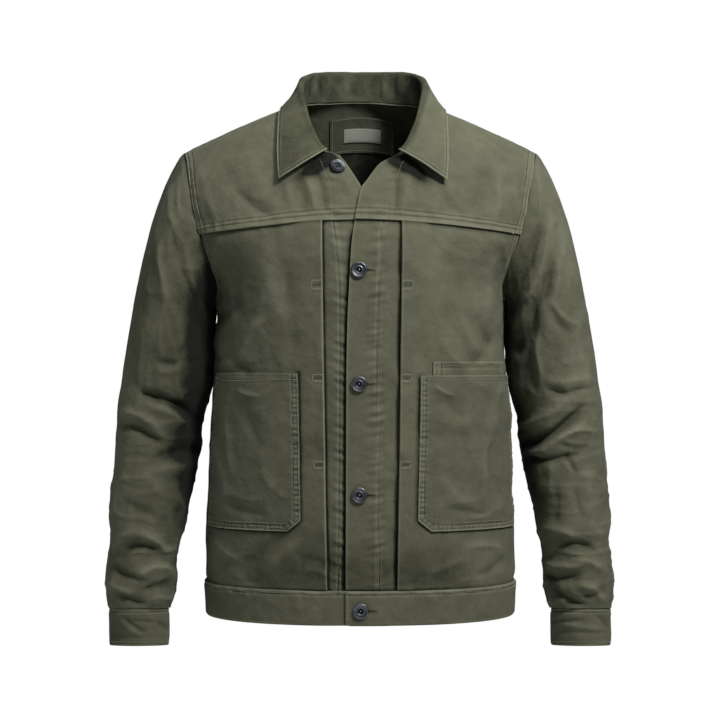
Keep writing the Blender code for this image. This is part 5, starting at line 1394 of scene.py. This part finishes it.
def sleeve_relief(side, form, facing, turns):
    across, down = view_place(form)
    across = across + 2.0 * mottle(form, 20.0, 91)
    down = down + 2.0 * mottle(form, 20.0, 92)
    seen = ramp(-facing[..., 1], -0.25, 0.2)
    relief = 1.6 * seen * creases(across, down, SLEEVE_CREASES[side])
    relief = relief + 1.6 * (1 - seen) * creases(across, down, SLEEVE_BACK_CREASES[side])
    beside = bump((turns - 180) % 360, 0.0, 40.0) + bump((turns - 180) % 360, 360.0, 40.0)
    relief = relief * (1 - 0.7 * beside * ramp(form[..., 2], -430.0, -380.0))
    outer_line = bump((turns + 180) % 360, 180.0, 34.0) * ramp(form[..., 2], -480.0, -400.0)
    relief = relief + (1.0 * mottle(form, 46.0, 93) + 0.8 * mottle(form, 22.0, 94)
                       + 0.36 * mottle(form, 10.0, 95))
    hang = ramp(form[..., 2:], -400.0, -330.0)
    along_arm, round_about = form * (1.0, 1.0, 0.42), form * (0.42, 0.42, 1.0)
    for points, share in ((along_arm, hang[..., 0]), (round_about, 1 - hang[..., 0])):
        relief = relief + share * (1.5 * crinkle(points, 24.0, 99)
                                   + 0.9 * crinkle(points, 13.0, 100) - 0.6)
    relief = relief * (1 - 0.85 * outer_line)
    relief = relief + 3.6 * bump((turns + 180) % 360, 180.0, 60.0) * bump(
        form[..., 2], -140.0, 75.0)
    gathers = np.stack([turns * 0.8, 0 * turns, 0.15 * form[..., 2]], axis=-1)
    relief = relief + 0.9 * mottle(gathers, 7.0, 96) * ramp(form[..., 2], -600.0, -634.0)
    return relief


def sleeve_piece(name, side, start, stop, word, shade, places):
    clear = 0.2
    girth = 400.0 * (stop - start) / 360
    part = shares(girth, 2.6, 1.4, places, 7.0)
    turns = start + clear + (stop - start - 2 * clear) * part
    beyond = np.concatenate([[2 * turns[0] - turns[1]], turns, [2 * turns[-1] - turns[-2]]])
    cap = shares(CAP_LONG, 2.8, 1.3, (0.0, 6.0), 8.0)
    levels = CAP_END - ARM_LONG * shares(ARM_LONG, 2.4, 1.6, (ARM_LONG,), 16.0)
    form = sleeve_form(side, beyond, cap, levels)
    facing = outward(form, side)
    round_arm = np.broadcast_to(beyond, form.shape[:2])
    relief = sleeve_relief(side, form, facing, round_arm)
    row_length = np.concatenate([cap[:-1] * CAP_LONG, CAP_LONG - (levels - CAP_END)])
    rim = row_length[:, None] * np.ones(form.shape[:2])
    line = np.stack([round_arm * 1.1, 0 * rim, 0 * rim], axis=-1)
    relief = relief * ramp(rim, 0.0, 14.0) * ramp(row_length[-1] - rim, 0.0, 7.0)
    relief = relief + (0.9 * mottle(line, 9.0, 97) * ramp(rim, 0.0, 3.0) * bump(rim, 6.0, 9.0))
    elbow = (round_arm - SEAM_ELBOW + 180) % 360 - 180
    far = np.abs(elbow) * 1.15
    if places:
        relief = relief + sewn(far, row_length[:, None] + 0 * far, ELBOW_ROWS, 98, 0.35) * ramp(
            rim, 6.0, 14.0)
    outer = form + facing * relief[..., None]
    inner = form + facing * (relief - WALL)[..., None]
    over = ramp(np.cos(np.radians(beyond)), -0.2, 0.4)[:, None]
    inner[0] = over * armhole_loop(side, beyond, WALL) + (1 - over) * inner[0]
    # Painted shade on each sleeve's inner side, where the body keeps the light off; the right
    # sleeve also gets painted shade over its upper part and a little painted light at mid height.
    past = (round_arm % 360 - 180) * np.where(round_arm % 360 > 180, 2.5, -1.0)
    drop = form[..., 2]
    if side == RIGHT:
        painted_inner_shade = 2.4 * ramp(past, 92.0, 12.0) * (0.2 + 0.8 * ramp(drop, -560.0, -440.0))
        painted_inner_shade = painted_inner_shade * (0.3 + 0.7 * ramp(drop, -150.0, -215.0))
        painted_inner_shade = painted_inner_shade + 0.24 * ramp(drop, -310.0, -230.0) - 0.2 * ramp(past, 80.0, 130.0) * (
            ramp(drop, -300.0, -360.0) * ramp(drop, -560.0, -520.0))
        painted_inner_shade = painted_inner_shade + 0.2 * bump(past, 80.0, 40.0) * ramp(drop, -500.0, -430.0)
    else:
        painted_inner_shade = ramp(past, 76.0, 18.0) * ramp(drop, -550.0, -480.0)
    # Painted shade along the armhole seam and on the inner side, painted shade in crease hollows
    # and painted light on ridges.
    worn_and_shaded = -1.3 * bump(rim, 0.0, 2.0) - 1.35 * painted_inner_shade + 0.16 * np.clip(relief, -4.0, 4.0)
    if places:
        worn_and_shaded = worn_and_shaded + 0.3 * bump(far, 0.0, 2.0)
    piece = sheet_piece(f"cloth_{name}_{word}", outer[:, 1:-1], inner[:, 1:-1],
                        twill(f"twill_{name}_{word}", shade), worn_and_shaded[:, 1:-1])
    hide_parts(f"{name}_{word}")
    lines = []
    if places:
        for inset in ELBOW_ROWS:
            turn = np.array([SEAM_ELBOW - 360 + inset / 1.15] * 3)
            path = sleeve_form(side, turn, np.linspace(0.06, 1, 200),
                               np.linspace(CAP_END, -634, 500))
            lines.append(path[:, 1] + 4.0 * unit(path[:, 1] * (1, 1, 0) - np.stack(
                [side * curve(-SLEEVE[:, 0], SLEEVE[:, 1], -path[:, 1, 2]),
                 curve(-SLEEVE[:, 0], SLEEVE[:, 3], -path[:, 1, 2]), 0 * path[:, 1, 2]], -1)))
        sew(f"thread_{name}_{word}", piece, lines)
    return piece


sleeves = []
for side, word in SIDES:
    # 0.95 and 0.92 are darker copies of the twill, painted shade, the under sleeve darker still.
    sleeves.append(sleeve_piece("sleeve_upper", side, SEAM_ELBOW - 360, SEAM_UNDER, word, 0.95,
                                (0.0, 9.0)))
    sleeves.append(sleeve_piece("sleeve_under", side, SEAM_UNDER, SEAM_ELBOW, word, 0.92, ()))


# ------------------------------------------------------------------ cuffs
# A two-layer band on each wrist, sewn on with an edge row, its ends lapping behind the wrist where
# a small button holds them.
CUFF_TOP = -638.0
CUFF_BOTTOM = -685.5
CUFF_WALL = 2.4
CUFF_CENTRE = (284.5, -20.0)
CUFF_HALF = (38.2, 41.6)
CUFF_LAP_START = 236.0        # degrees round the arm where the top end lies
CUFF_LAP = 24.0
CUFF_ROW = 4.4                # the row of stitches below the seam
CUFF_RADIUS = 40.5
CUFF_STOP = CUFF_LAP_START + 360 + CUFF_LAP
CUFF_CREASES = {
    RIGHT: ((124, 618, 146, 633, 1, 2.6, -2.4, 0.0), (122, 622, 142, 636, 1, 3.0, 1.3, 0.0),
            (134, 621, 156, 622, 0, 2.0, -1.5, 0.0), (112, 638, 166, 637, 0, 2.2, -0.9, 0.0),
            (158, 622, 170, 629, 0, 3.0, -2.6, 0.0)),
    LEFT: ((552, 621, 586, 620, 1, 2.2, -1.6, 0.0), (566, 624, 600, 629, 1, 2.6, 1.2, 0.0),
           (556, 632, 606, 633, 0, 2.2, -1.2, 0.0), (598, 616, 609, 628, 0, 3.0, -1.8, 0.0)),
}


def cuff_out(turns):
    over = 1.6 * ramp(turns, CUFF_LAP_START + CUFF_LAP + 22, CUFF_LAP_START + CUFF_LAP)
    under = -1.4 * ramp(turns, CUFF_STOP - CUFF_LAP - 22, CUFF_STOP - CUFF_LAP)
    return over + under


def cuff_place(side, turns, level, out):
    turn = np.radians(turns)
    x = side * (CUFF_CENTRE[0] + (CUFF_HALF[0] + out) * np.cos(turn))
    y = CUFF_CENTRE[1] - (CUFF_HALF[1] + out) * np.sin(turn)
    return np.stack(np.broadcast_arrays(x, y, level + WRIST_TILT * (CUFF_CENTRE[1] - y)), axis=-1)


def cuff(side, word):
    girth = math.radians(CUFF_STOP - CUFF_LAP_START) * CUFF_RADIUS
    part = shares(girth, 2.2, 1.0, (0.0, girth), 7.0)
    deep = CUFF_TOP - CUFF_BOTTOM
    drop = deep * shares(deep, 1.6, 0.8, (0.0, 5.0, deep), 4.0)[:, None]
    turns = CUFF_LAP_START + (CUFF_STOP - CUFF_LAP_START) * part[None, :] + 0 * drop
    drop = drop + 0 * turns
    grow = curve((0.0, 8.0, deep - 6.0, deep), (0.0, 0.7, 0.2, -0.3), drop)
    spot = cuff_place(side, turns, CUFF_TOP - drop, 0.0)
    end = np.minimum(part, 1 - part)[None, :] * girth + 0 * drop
    edge = np.minimum(np.minimum(drop, deep - drop), end)
    along = np.stack([turns * 0.7, 0.2 * drop, 0 * drop], axis=-1)
    relief = 0.9 * mottle(spot, 24.0, 101) + 0.35 * mottle(spot, 11.0, 102)
    seen = ramp(np.sin(np.radians(turns)), -0.1, 0.3)
    relief = relief + seen * creases(*view_place(spot), CUFF_CREASES[side])
    relief = relief + sewn(drop, turns * 0.7, (CUFF_ROW,), 103, 0.30, 5.0, 5.0)
    relief = relief - 0.28 * bump(deep - drop, 4.0, 1.2) - 0.28 * bump(end, 3.0, 1.2)
    relief = relief + 0.25 * mottle(along, 6.0, 104) * bump(deep - drop, 3.0, 6.0)
    relief = relief * ramp(edge, -0.5, 3.0)
    rounded = 0.55 * (1 - ramp(edge, 0.0, 1.6))
    base = grow + cuff_out(turns)
    outer = cuff_place(side, turns, CUFF_TOP - drop, base + relief - rounded)
    inner = cuff_place(side, turns, CUFF_TOP - drop, base - CUFF_WALL + 0.5 * relief + rounded)
    worn_and_shaded = 1.1 * bump(deep - drop, 0.0, 1.6) + rubbed_and_groove_shade(drop, (CUFF_ROW,)) + rubbed_and_groove_shade(end, (3.0,))
    # Painted shade in the crease hollows and painted light on ridges; the right cuff is darker all
    # over, painted shade; 0.98 is a slightly darker copy.
    worn_and_shaded = worn_and_shaded + 0.16 * np.clip(relief, -3, 3) - (0.25 if side == RIGHT else 0.05)
    piece = sheet_piece(f"cloth_cuff_{word}", outer, inner, twill(f"twill_cuff_{word}", 0.98), worn_and_shaded)
    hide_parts(f"cuff_{word}")
    turn = np.linspace(CUFF_LAP_START + 3, CUFF_STOP - CUFF_LAP, 500)
    lines = []
    for row in (CUFF_ROW, deep - 4.0):
        lines.append(cuff_place(side, turn, np.full(500, CUFF_TOP - row), 3.5))
    drops = np.linspace(CUFF_ROW, deep - 4.0, 60)
    turn = np.full(60, CUFF_LAP_START + math.degrees(3.0 / CUFF_RADIUS))
    lines.append(cuff_place(side, turn, CUFF_TOP - drops, 4.0))
    sew(f"thread_cuff_{word}", piece, lines)
    return piece


cuffs = [cuff(side, word) for side, word in SIDES]


# ------------------------------------------------------------------ collar
# A one-piece shirt collar: the stand rises from the neck seam, rolls over and falls as a pointed
# leaf, edge-stitched all round.  The stand keeps soft upright wrinkles behind the neck.
ROLL_LINE = np.array([        # half width, y, z, radius of the roll
    (46.0, -103.0, -57.0, 2.2), (54.0, -95.0, -46.0, 2.6), (60.5, -84.0, -31.0, 3.0),
    (66.5, -69.0, -14.0, 3.4), (71.0, -47.0, 6.0, 3.8), (75.5, -20.0, 29.0, 4.2),
    (76.0, -3.0, 39.0, 4.2), (74.0, 13.0, 47.5, 4.0), (69.5, 36.0, 57.0, 4.0),
    (60.5, 57.0, 64.0, 4.4), (44.0, 74.0, 68.0, 4.4), (22.0, 83.5, 69.5, 4.4),
    (0.0, 86.5, 70.0, 4.4),
])
LEAF_EDGE = np.array([        # half width, height, 0 in front or 1 behind, lift off the body
    (103.5, 118.5, 0, 6.5), (104.5, 133.0, 0, 6.2), (105.5, 156.0, 0, 6.0),
    (106.0, 190.0, 0, 5.5), (106.0, 226.0, 0, 5.0), (105.0, 262.0, 0, 3.8),
    (104.0, 286.0, 0, 3.2), (103.0, 306.0, 1, 3.2), (97.0, 272.0, 1, 3.6),
    (85.0, 240.0, 1, 5.5), (62.0, 222.0, 1, 7.0), (32.0, 213.0, 1, 7.0),
    (0.0, 211.0, 1, 7.0),
])
COLLAR_WALL = 2.0
COLLAR_SEAT = 1.8
COLLAR_ROW = 3.2              # the edge stitching, by its distance from the edge
LEAF_CROWN = np.array([6.5, 6.0, 4.5, 3.0, 1.5, -0.5, -1.5, -1.5, 0.0, 2.0, 3.5, 3.5, 3.5])


def collar_stations():
    rows = []
    for side, order in ((RIGHT, range(len(NECKLINE))), (LEFT, range(len(NECKLINE) - 2, -1, -1))):
        for index in order:
            row = []
            for table, lift in ((NECKLINE, COLLAR_SEAT), (LEAF_EDGE, LEAF_EDGE[index, 3])):
                half, height, behind = table[index, :3]
                x = side * half + NECK_SHIFT
                turn = float(angle_at(x, height))
                row.append(torso(180 - turn if behind else turn, height, lift))
            half, y, z, radius = ROLL_LINE[index]
            roll = np.array([side * half + NECK_SHIFT, y, z])
            rows.append(np.concatenate([row[0], roll, row[1], [radius, LEAF_CROWN[index]]]))
    return np.array(rows)


def collar_line(foot, roll, leaf, radius, full, stand, bend, fall):
    """One section through the collar: points, and the direction out of its shown face."""
    up = unit(roll - foot)
    out = unit((leaf - roll) - up * np.dot(leaf - roll, up))
    rise = np.linalg.norm(roll - foot) - radius
    hub = foot + up * rise + out * radius
    free = np.array([np.dot(leaf - hub, out), np.dot(leaf - hub, up)])
    leave = math.atan2(free[1], free[0]) + math.acos(radius / np.linalg.norm(free))
    turn = math.pi + (leave - math.pi) * bend
    start = radius * np.array([math.cos(leave), math.sin(leave)])
    sideways = np.array([math.cos(leave), math.sin(leave)])
    crown = full * 4 * fall * (1 - fall)
    line = np.concatenate([
        np.stack([0 * stand - radius, -rise * (1 - stand)], axis=-1),
        radius * np.stack([np.cos(turn), np.sin(turn)], axis=-1),
        start + (free - start) * fall[:, None] + sideways * crown[:, None]])
    along = np.gradient(line, axis=0)
    normal = unit(np.stack([-along[:, 1], along[:, 0]], axis=-1))
    points = hub + line[:, :1] * out + line[:, 1:] * up
    return points, normal[:, :1] * out + normal[:, 1:] * up


collar_rows = collar_stations()
collar_number = np.arange(len(collar_rows))
collar_step = np.linalg.norm(np.diff(collar_rows[:, 3:6], axis=0), axis=1)
collar_reach = np.append(0.0, np.cumsum(collar_step))
collar_part = shares(collar_reach[-1] * 1.3, 2.9, 1.1, (0.0, collar_reach[-1] * 1.3), 9.0)
collar_place = np.interp(collar_part, collar_reach / collar_reach[-1], collar_number)
collar_stand = shares(34.0, 2.6, 1.2, (0.0,), 5.0)[:-1]
collar_bend = np.linspace(0, 1, 9)[:-1]
collar_fall = shares(62.0, 2.6, 1.0, (62.0,), 7.0)
collar_points, collar_facing = [], []
for place in collar_place:
    row = np.array([curve(collar_number, collar_rows[:, column], place) for column in range(11)])
    points, facing = collar_line(row[:3], row[3:6], row[6:9], row[9], row[10],
                                 collar_stand, collar_bend, collar_fall)
    collar_points.append(points)
    collar_facing.append(facing)
collar_points, collar_facing = np.array(collar_points), np.array(collar_facing)
leaf_start = len(collar_stand) + len(collar_bend)
collar_down = np.append(0.0, np.cumsum(
    np.linalg.norm(np.diff(collar_points, axis=1), axis=-1).mean(axis=0)))[None, :]
collar_along = collar_part[:, None] * collar_reach[-1] + 0 * collar_down
collar_free, _ = from_line(collar_points, collar_points[:, -1])
collar_front = np.minimum(*[from_line(collar_points, collar_points[end])[0] for end in (0, -1)])
collar_edge = np.minimum(collar_free, collar_front)
collar_on_leaf = ramp(collar_down, collar_down[0, leaf_start] - 2, collar_down[0, leaf_start] + 6)
collar_back = ramp(collar_points[..., 1], 0.0, 45.0)
collar_upright = np.stack([collar_along, 0.22 * collar_down + 0 * collar_along,
                           0 * collar_along], axis=-1)
collar_relief = (1 - collar_on_leaf) * collar_back * 2.2 * mottle(collar_upright, 13.0, 111)
collar_relief = collar_relief + (1 - collar_on_leaf) * collar_back * 1.0 * mottle(
    collar_upright, 6.0, 112)
collar_relief = collar_relief + collar_on_leaf * (
    0.8 * mottle(collar_points, 30.0, 113) + 0.35 * mottle(collar_points, 13.0, 114))
collar_ripple = np.stack([collar_along, collar_down + 0 * collar_along, 0 * collar_along], axis=-1)
collar_relief = collar_relief + 0.28 * mottle(collar_ripple, 6.0, 115) * bump(
    collar_edge, 4.0, 6.0) * collar_on_leaf
collar_relief = collar_relief * ramp(collar_down, 0.0, 12.0) * (
    1 - 0.85 * bump(collar_down, collar_down[0, leaf_start - 4], 9.0))
collar_groove = 0.5 * bump(collar_edge, COLLAR_ROW, 1.2) * ramp(collar_down, 6.0, 12.0)
collar_round = 0.5 * (1 - ramp(collar_edge, 0.0, 1.5))
collar_outer = collar_points + collar_facing * (
    COLLAR_WALL / 2 + collar_relief - collar_groove - collar_round)[..., None]
collar_inner = collar_points - collar_facing * (
    COLLAR_WALL / 2 - collar_relief - collar_round)[..., None]
collar_worn_and_shaded = rubbed_and_groove_shade(collar_edge, (COLLAR_ROW,)) * ramp(collar_down, 6.0, 12.0) + 0.25 * bump(
    collar_down, collar_down[0, leaf_start - 4], 4.0)
# Painted shade on the stand inside the neck; painted shade in crease hollows and painted light on
# ridges.
collar_worn_and_shaded = collar_worn_and_shaded - 1.0 * (1 - collar_on_leaf) + 0.16 * np.clip(collar_relief, -3, 3)
# Painted shade on the leaf on the wearer's right.
collar_worn_and_shaded = collar_worn_and_shaded - 0.65 * ramp(collar_points[..., 0], -20.0, -60.0) * collar_on_leaf
# 1.06 makes a lighter copy of the twill, painted light on the collar.
collar = sheet_piece("cloth_collar", collar_outer, collar_inner, twill("twill_collar", 1.06),
                     collar_worn_and_shaded)
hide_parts("collar")

collar_lines = []
inset = np.interp(COLLAR_ROW, collar_down[0, -1] - collar_down[0, ::-1],
                  np.arange(len(collar_down[0]))[::-1])
low, share = int(inset), inset - int(inset)
free_line = collar_points[:, low] * (1 - share) + collar_points[:, low + 1] * share
free_line = free_line + 3.0 * collar_facing[:, low]
collar_lines.append(free_line[collar_front[:, low] > COLLAR_ROW])
for end, step in ((0, 1), (-1, -1)):
    for number in range(6):
        if collar_front[end + step * number, leaf_start + 6] >= COLLAR_ROW:
            break
    column = end + step * number
    front_line = collar_points[column] + 3.0 * collar_facing[column]
    keep = (collar_down[0] > 8.0) & (collar_free[column] > COLLAR_ROW)
    collar_lines.append(front_line[keep])
sew("thread_collar", collar, collar_lines)


# ------------------------------------------------------------------ waistband
# A doubled band round the hem in three pieces: a front on each side that laps at the middle, and
# the back.  Each is sewn to the panels with an edge row just under the seam.
HEM_HEIGHT = -410.0
BAND_WALL = 3.0
BAND_OUT = 1.6
BAND_ROW = 4.6                # the row of stitches below the seam
BAND_LAP = {LEFT: 1.5, RIGHT: -1.8}


def band_piece(name, side):
    deep = BAND_TOP - SEAM - HEM_HEIGHT
    rise = deep * shares(deep, 1.8, 0.8, (0.0, deep - 4.5, deep), 4.0)
    height = (HEM_HEIGHT + rise)[:, None]
    if side:
        corner = 5.0
        cut = corner - np.sqrt(np.maximum(corner ** 2 - np.maximum(corner - rise, 0) ** 2, 0))
        first = angle_at(edge_of(side, height[:, 0]) + cut, height[:, 0])[:, None]
        part = shares(290.0, 2.7, 1.0, (0.0, 289.0), 7.0)[None, :]
        turns = first + (89.95 - first) * part
        across = across_at(turns, height)
        end = np.minimum(across - edge_of(side, height), 1e3)
        lap = BAND_LAP[side] * ramp(across, 44.0, 22.0)
        turns = side * turns
    else:
        part = shares(560.0, 3.2, 1.0, (0.0, 560.0), 6.0)[None, :]
        turns = 90.05 + 179.9 * part + 0 * height
        end = np.full(turns.shape, 1e3)
        lap = 0.0
    spot = torso_point(turns, height + 0 * turns)
    along = np.stack([np.degrees(np.arctan2(spot[..., 0], -spot[..., 1])) * 2.6,
                      0.2 * height + 0 * turns, 0 * turns], axis=-1)
    top = deep - rise[:, None]
    low = rise[:, None]
    edge = np.minimum(np.minimum(top, low) + 0 * turns, end)
    relief = (0.35 * body_relief(turns, height + 0 * turns) + 0.8 * mottle(along, 16.0, 121)
              + 0.3 * mottle(spot, 9.0, 122))
    relief = relief + sewn(top + 0 * turns, along[..., 0], (BAND_ROW,), 123, 0.5, 5.5, 5.5, 0.5)
    relief = relief - 0.25 * bump(end, 3.0, 1.2)
    relief = relief * ramp(edge, -1.0, 3.0)
    rounded = 0.7 * (1 - ramp(edge, 0.0, 1.8))
    outer = torso(turns, height, BAND_OUT + lap + relief - rounded)
    inner = torso(turns, height, BAND_OUT + lap - BAND_WALL + 0.6 * relief + rounded)
    worn_and_shaded = 1.1 * bump(low, 0.0, 2.0) + rubbed_and_groove_shade(top, (BAND_ROW,), along[..., 0], 123)
    # Painted shade in the crease hollows and painted light on ridges; 0.95 makes a darker copy of
    # the twill, painted shade.
    worn_and_shaded = worn_and_shaded + rubbed_and_groove_shade(end, (3.0,)) + 0.12 * np.clip(relief, -3, 3)
    piece = sheet_piece(f"cloth_{name}", outer, inner, twill(f"twill_{name}", 0.95), worn_and_shaded)
    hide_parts(name)
    level = BAND_TOP - SEAM - BAND_ROW
    begin = float(np.abs(turns).min(axis=1)[-1]) + 1.5 if side else 90.4
    turn = np.linspace(begin, 89.6 if side else 269.6, 800)
    lines = [seam_line((side or 1) * turn, np.full(800, level), 5.0)]
    if side:
        rises = np.linspace(HEM_HEIGHT + 5.0, level, 60)
        lines.append(torso(side * angle_at(edge_of(side, rises) + 3.0, rises), rises, 5.0))
    sew(f"thread_{name}", piece, lines)
    return piece


bands = [band_piece("waistband_left", LEFT), band_piece("waistband_right", RIGHT),
         band_piece("waistband_back", 0)]


# ------------------------------------------------------------------ buttons
# Gunmetal tack buttons: a rolled rim, a dished face and a small boss in the middle.  Five go down
# the front, the top one left open, and a smaller one holds each cuff.
BUTTON_RADIUS = 9.8
CUFF_BUTTON_RADIUS = 7.5
BUTTON_FOOT = 8.2             # radius where the button meets the cloth
GUNMETAL_PROFILE = (          # radius and height of each ring, both for a radius of 9.8 mm
    (9.2, 0.45), (9.7, 1.0), (9.8, 1.7), (9.65, 2.35), (9.3, 2.85), (8.8, 3.1), (8.3, 3.05),
    (7.9, 2.8), (7.5, 2.72), (6.6, 2.45), (5.6, 2.2), (4.9, 2.15), (4.55, 2.4), (4.2, 2.5),
    (3.85, 2.4), (3.6, 2.0), (3.5, 1.2), (3.2, 0.9), (2.0, 0.85), (1.55, 0.95), (1.45, 1.5),
    (1.25, 1.85), (0.8, 2.05), (0.3, 2.1),
)
bpy.ops.object.select_all(action="DESELECT")
bpy.ops.mesh.primitive_circle_add(vertices=56, radius=BUTTON_FOOT * MM, fill_type="NGON",
                                  location=(0, 0, 0))
button_pattern = bpy.context.object
bpy.ops.object.mode_set(mode="EDIT")
bpy.ops.mesh.select_all(action="SELECT")
ring_radius, ring_height = BUTTON_FOOT, 0.0
for radius, height in GUNMETAL_PROFILE:
    bpy.ops.mesh.extrude_region_move(
        TRANSFORM_OT_translate={"value": (0, 0, (height - ring_height) * MM)})
    grow = radius / ring_radius
    bpy.ops.transform.resize(value=(grow, grow, 1.0))
    ring_radius, ring_height = radius, height
bpy.ops.mesh.select_all(action="SELECT")
bpy.ops.mesh.normals_make_consistent(inside=False)
bpy.ops.object.mode_set(mode="OBJECT")
button_pattern.data.shade_smooth()


def gunmetal(name):
    metal = Finish(name, Metallic=1.0)
    place = metal.node("ShaderNodeTexCoord", output=3)
    polish = metal.node("ShaderNodeAttribute", {"attribute_name": "polish"}, output=2)
    cast = metal.node("ShaderNodeTexNoise", None, {"Vector": place, "Scale": 700.0, "Detail": 4.0,
                                                   "Roughness": 0.6})
    # The metal is bright where rubbed and dark where the per-point values paint shade.
    metal.feed("Base Color", metal.mix(polish + (cast - 0.5) * 0.7, (0.016, 0.018, 0.021, 1.0),
                                       (0.29, 0.305, 0.335, 1.0)))
    metal.feed("Roughness", 0.46 - polish * 0.14 + (cast - 0.5) * 0.2)
    metal.feed("Normal", metal.node("ShaderNodeBump", None, {
        "Strength": 0.25, "Distance": 0.0003, "Height": cast}))
    return metal.material


def metal_button(name, node, size, seat, axis, number):
    """A copy of the pattern, brought to its seat with its face along the axis."""
    mesh = button_pattern.data.copy()
    mesh.name = name
    points = np.empty(len(mesh.vertices) * 3, np.float32)
    mesh.vertices.foreach_get("co", points)
    points = points.reshape(-1, 3).astype(float) / MM
    reach = np.hypot(points[:, 0], points[:, 1])
    # Brighter on the raised rings, which are rubbed bright; painted shade in the grooves, in the
    # hollow round the boss and towards the foot.
    shine_and_shade = curve((0.0, 1.3, 1.6, 3.7, 3.9, 4.6, 5.4, 7.6, 7.9, 8.3, 9.3, 9.75, 9.8),
                  (0.62, 0.5, 0.0, 0.0, 0.7, 0.62, 0.42, 0.5, 0.18, 0.75, 0.5, 0.15, 0.1), reach)
    shine_and_shade = shine_and_shade * ramp(points[:, 2], 0.7, 1.6)
    turn = math.radians(37.0 * number)
    across = unit(np.cross((0.0, 0.0, 1.0), axis))
    up = np.cross(axis, across)
    first = math.cos(turn) * across + math.sin(turn) * up
    second = math.cos(turn) * up - math.sin(turn) * across
    placed = seat + size / BUTTON_RADIUS * (points[:, :1] * first + points[:, 1:2] * second
                                  + points[:, 2:] * axis)
    # Painted shade over the top button, which lies in the collar's shadow, with a painted glint on
    # its upper right edge.
    if number == 0:
        shine_and_shade = shine_and_shade * (0.06 + ramp((placed - seat) @ (0.7, 0.0, 0.7) / size, 0.45, 0.85))
    mesh.vertices.foreach_set("co", (placed * MM).astype(np.float32).ravel())
    mesh.attributes.new("polish", "FLOAT", "POINT").data.foreach_set(
        "value", shine_and_shade.astype(np.float32))
    mesh.materials.append(gunmetal(name + "_gunmetal"))
    mesh.update()
    made = bpy.data.objects.new(name, mesh)
    scene.collection.objects.link(made)
    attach(made, "root")
    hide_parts(node)


button_seats = []
for number, (level, x) in enumerate(BUTTONS):
    side = LEFT if number else RIGHT
    height = button_height(level, x)
    angle = float(angle_at(x, height))

    def skin(turn, rise):
        if height < BAND_TOP:
            return torso(turn, rise, BAND_OUT + BAND_LAP[LEFT])
        across = side * across_at(turn, rise)
        out = front_out(side, across, rise)
        if height > YOKE_SEAM:
            out = out + yoke_fold(side, across, rise)
        return torso(turn, rise, out)

    axis = unit(np.cross(skin(angle + 1, height) - skin(angle - 1, height),
                         skin(angle, height + 3) - skin(angle, height - 3)))
    seat = skin(angle, height) + axis * 0.5
    button_seats.append((seat, axis))
    metal_button(f"metal_button_{number + 1}", f"button_{number + 1}", BUTTON_RADIUS, seat,
                 axis, number)

for side, word in SIDES:
    turn = math.radians(CUFF_LAP_START + CUFF_LAP / 2)
    level = (CUFF_TOP + CUFF_BOTTOM) / 2
    seat = cuff_place(side, CUFF_LAP_START + CUFF_LAP / 2, level, 1.6 + 0.7)
    axis = unit(np.array([side * math.cos(turn) / CUFF_HALF[0],
                          -math.sin(turn) / CUFF_HALF[1], 0.0]))
    metal_button(f"metal_button_cuff_{word}", f"button_cuff_{word}", CUFF_BUTTON_RADIUS, seat,
                 axis, 6 + side)
bpy.data.objects.remove(button_pattern)


# ------------------------------------------------------------------ buttonholes
# Keyhole buttonholes worked in brownish thread across the left front, the slit reaching out from
# under each button towards the wearer's left.
# Near-black threads in each slit are painted shade: they stand for the dark opening.
slit_shade_finish = flecked("buttonhole_slit", 900.0, (0.010, 0.009, 0.006), (0.030, 0.026, 0.018),
                      Roughness=0.9)
work_finish = flecked("buttonhole_thread", 420.0, (0.058, 0.050, 0.030), (0.125, 0.112, 0.074),
                      Roughness=0.7, Sheen_Weight=0.15)


def buttonhole(name, piece, seat, axis, along, reach):
    """Close stitches across both lips of the slit, and near-black threads between them as painted
    shade.
    """
    beside = unit(np.cross(axis, along))
    start, stop = seat + along * 2.0, seat + along * reach
    part = np.linspace(0, 1, 60)[:, None]
    middle = start + (stop - start) * part + 1.5 * axis
    mouth = [middle[:stop_at] + hand * away * beside
             for away, stop_at in ((0.9, 42), (1.7, 33)) for hand in (-1, 1)]
    sew(name + "_slit", piece, [middle] + mouth, 1.2, 0.62, -0.2, slit_shade_finish)
    lips = []
    for step in np.arange(0.0, reach - 2.0, 0.62):
        place = start + along * step + 1.5 * axis
        for hand in (-1, 1):
            lips.append(np.array([place + hand * 0.65 * beside, place + hand * 1.95 * beside]))
    for turn in np.linspace(-80, 80, 9):
        spoke = math.cos(math.radians(turn)) * along + math.sin(math.radians(turn)) * beside
        place = stop + 1.5 * axis
        lips.append(np.array([place + 0.35 * spoke, place + 1.75 * spoke]))
    sew(name, piece, lips, 1.2, 0.34, -0.1, work_finish)


for number in range(1, 5):
    seat, axis = button_seats[number]
    along = unit(np.array([1.0, 0.0, 0.0]) - axis * axis[0])
    buttonhole(f"buttonhole_{number + 1}", fronts[LEFT] if number < 4 else bands[0], seat, axis,
               along, 19.5)
for (side, word), piece in zip(SIDES, cuffs):
    seat = cuff_place(side, CUFF_LAP_START + CUFF_LAP / 2, (CUFF_TOP + CUFF_BOTTOM) / 2, 2.0)
    turn = math.radians(CUFF_LAP_START + CUFF_LAP / 2)
    axis = unit(np.array([side * math.cos(turn), -math.sin(turn), 0.0]))
    along = unit(np.cross((0.0, 0.0, 1.0), axis)) * -side
    buttonhole(f"buttonhole_cuff_{word}", piece, seat, axis, along, 13.5)


# ------------------------------------------------------------------ sleeve pieces
# Every piece was cut flat before it was sewn, and the garment hangs from its back yoke.  Here the
# sleeve pieces are only looked up by number, and nothing more is done with them.


for number, side in ((0, LEFT), (2, RIGHT)):
    sleeves[number + 1]
for number in (0, 1):
    sleeves[2 * number]
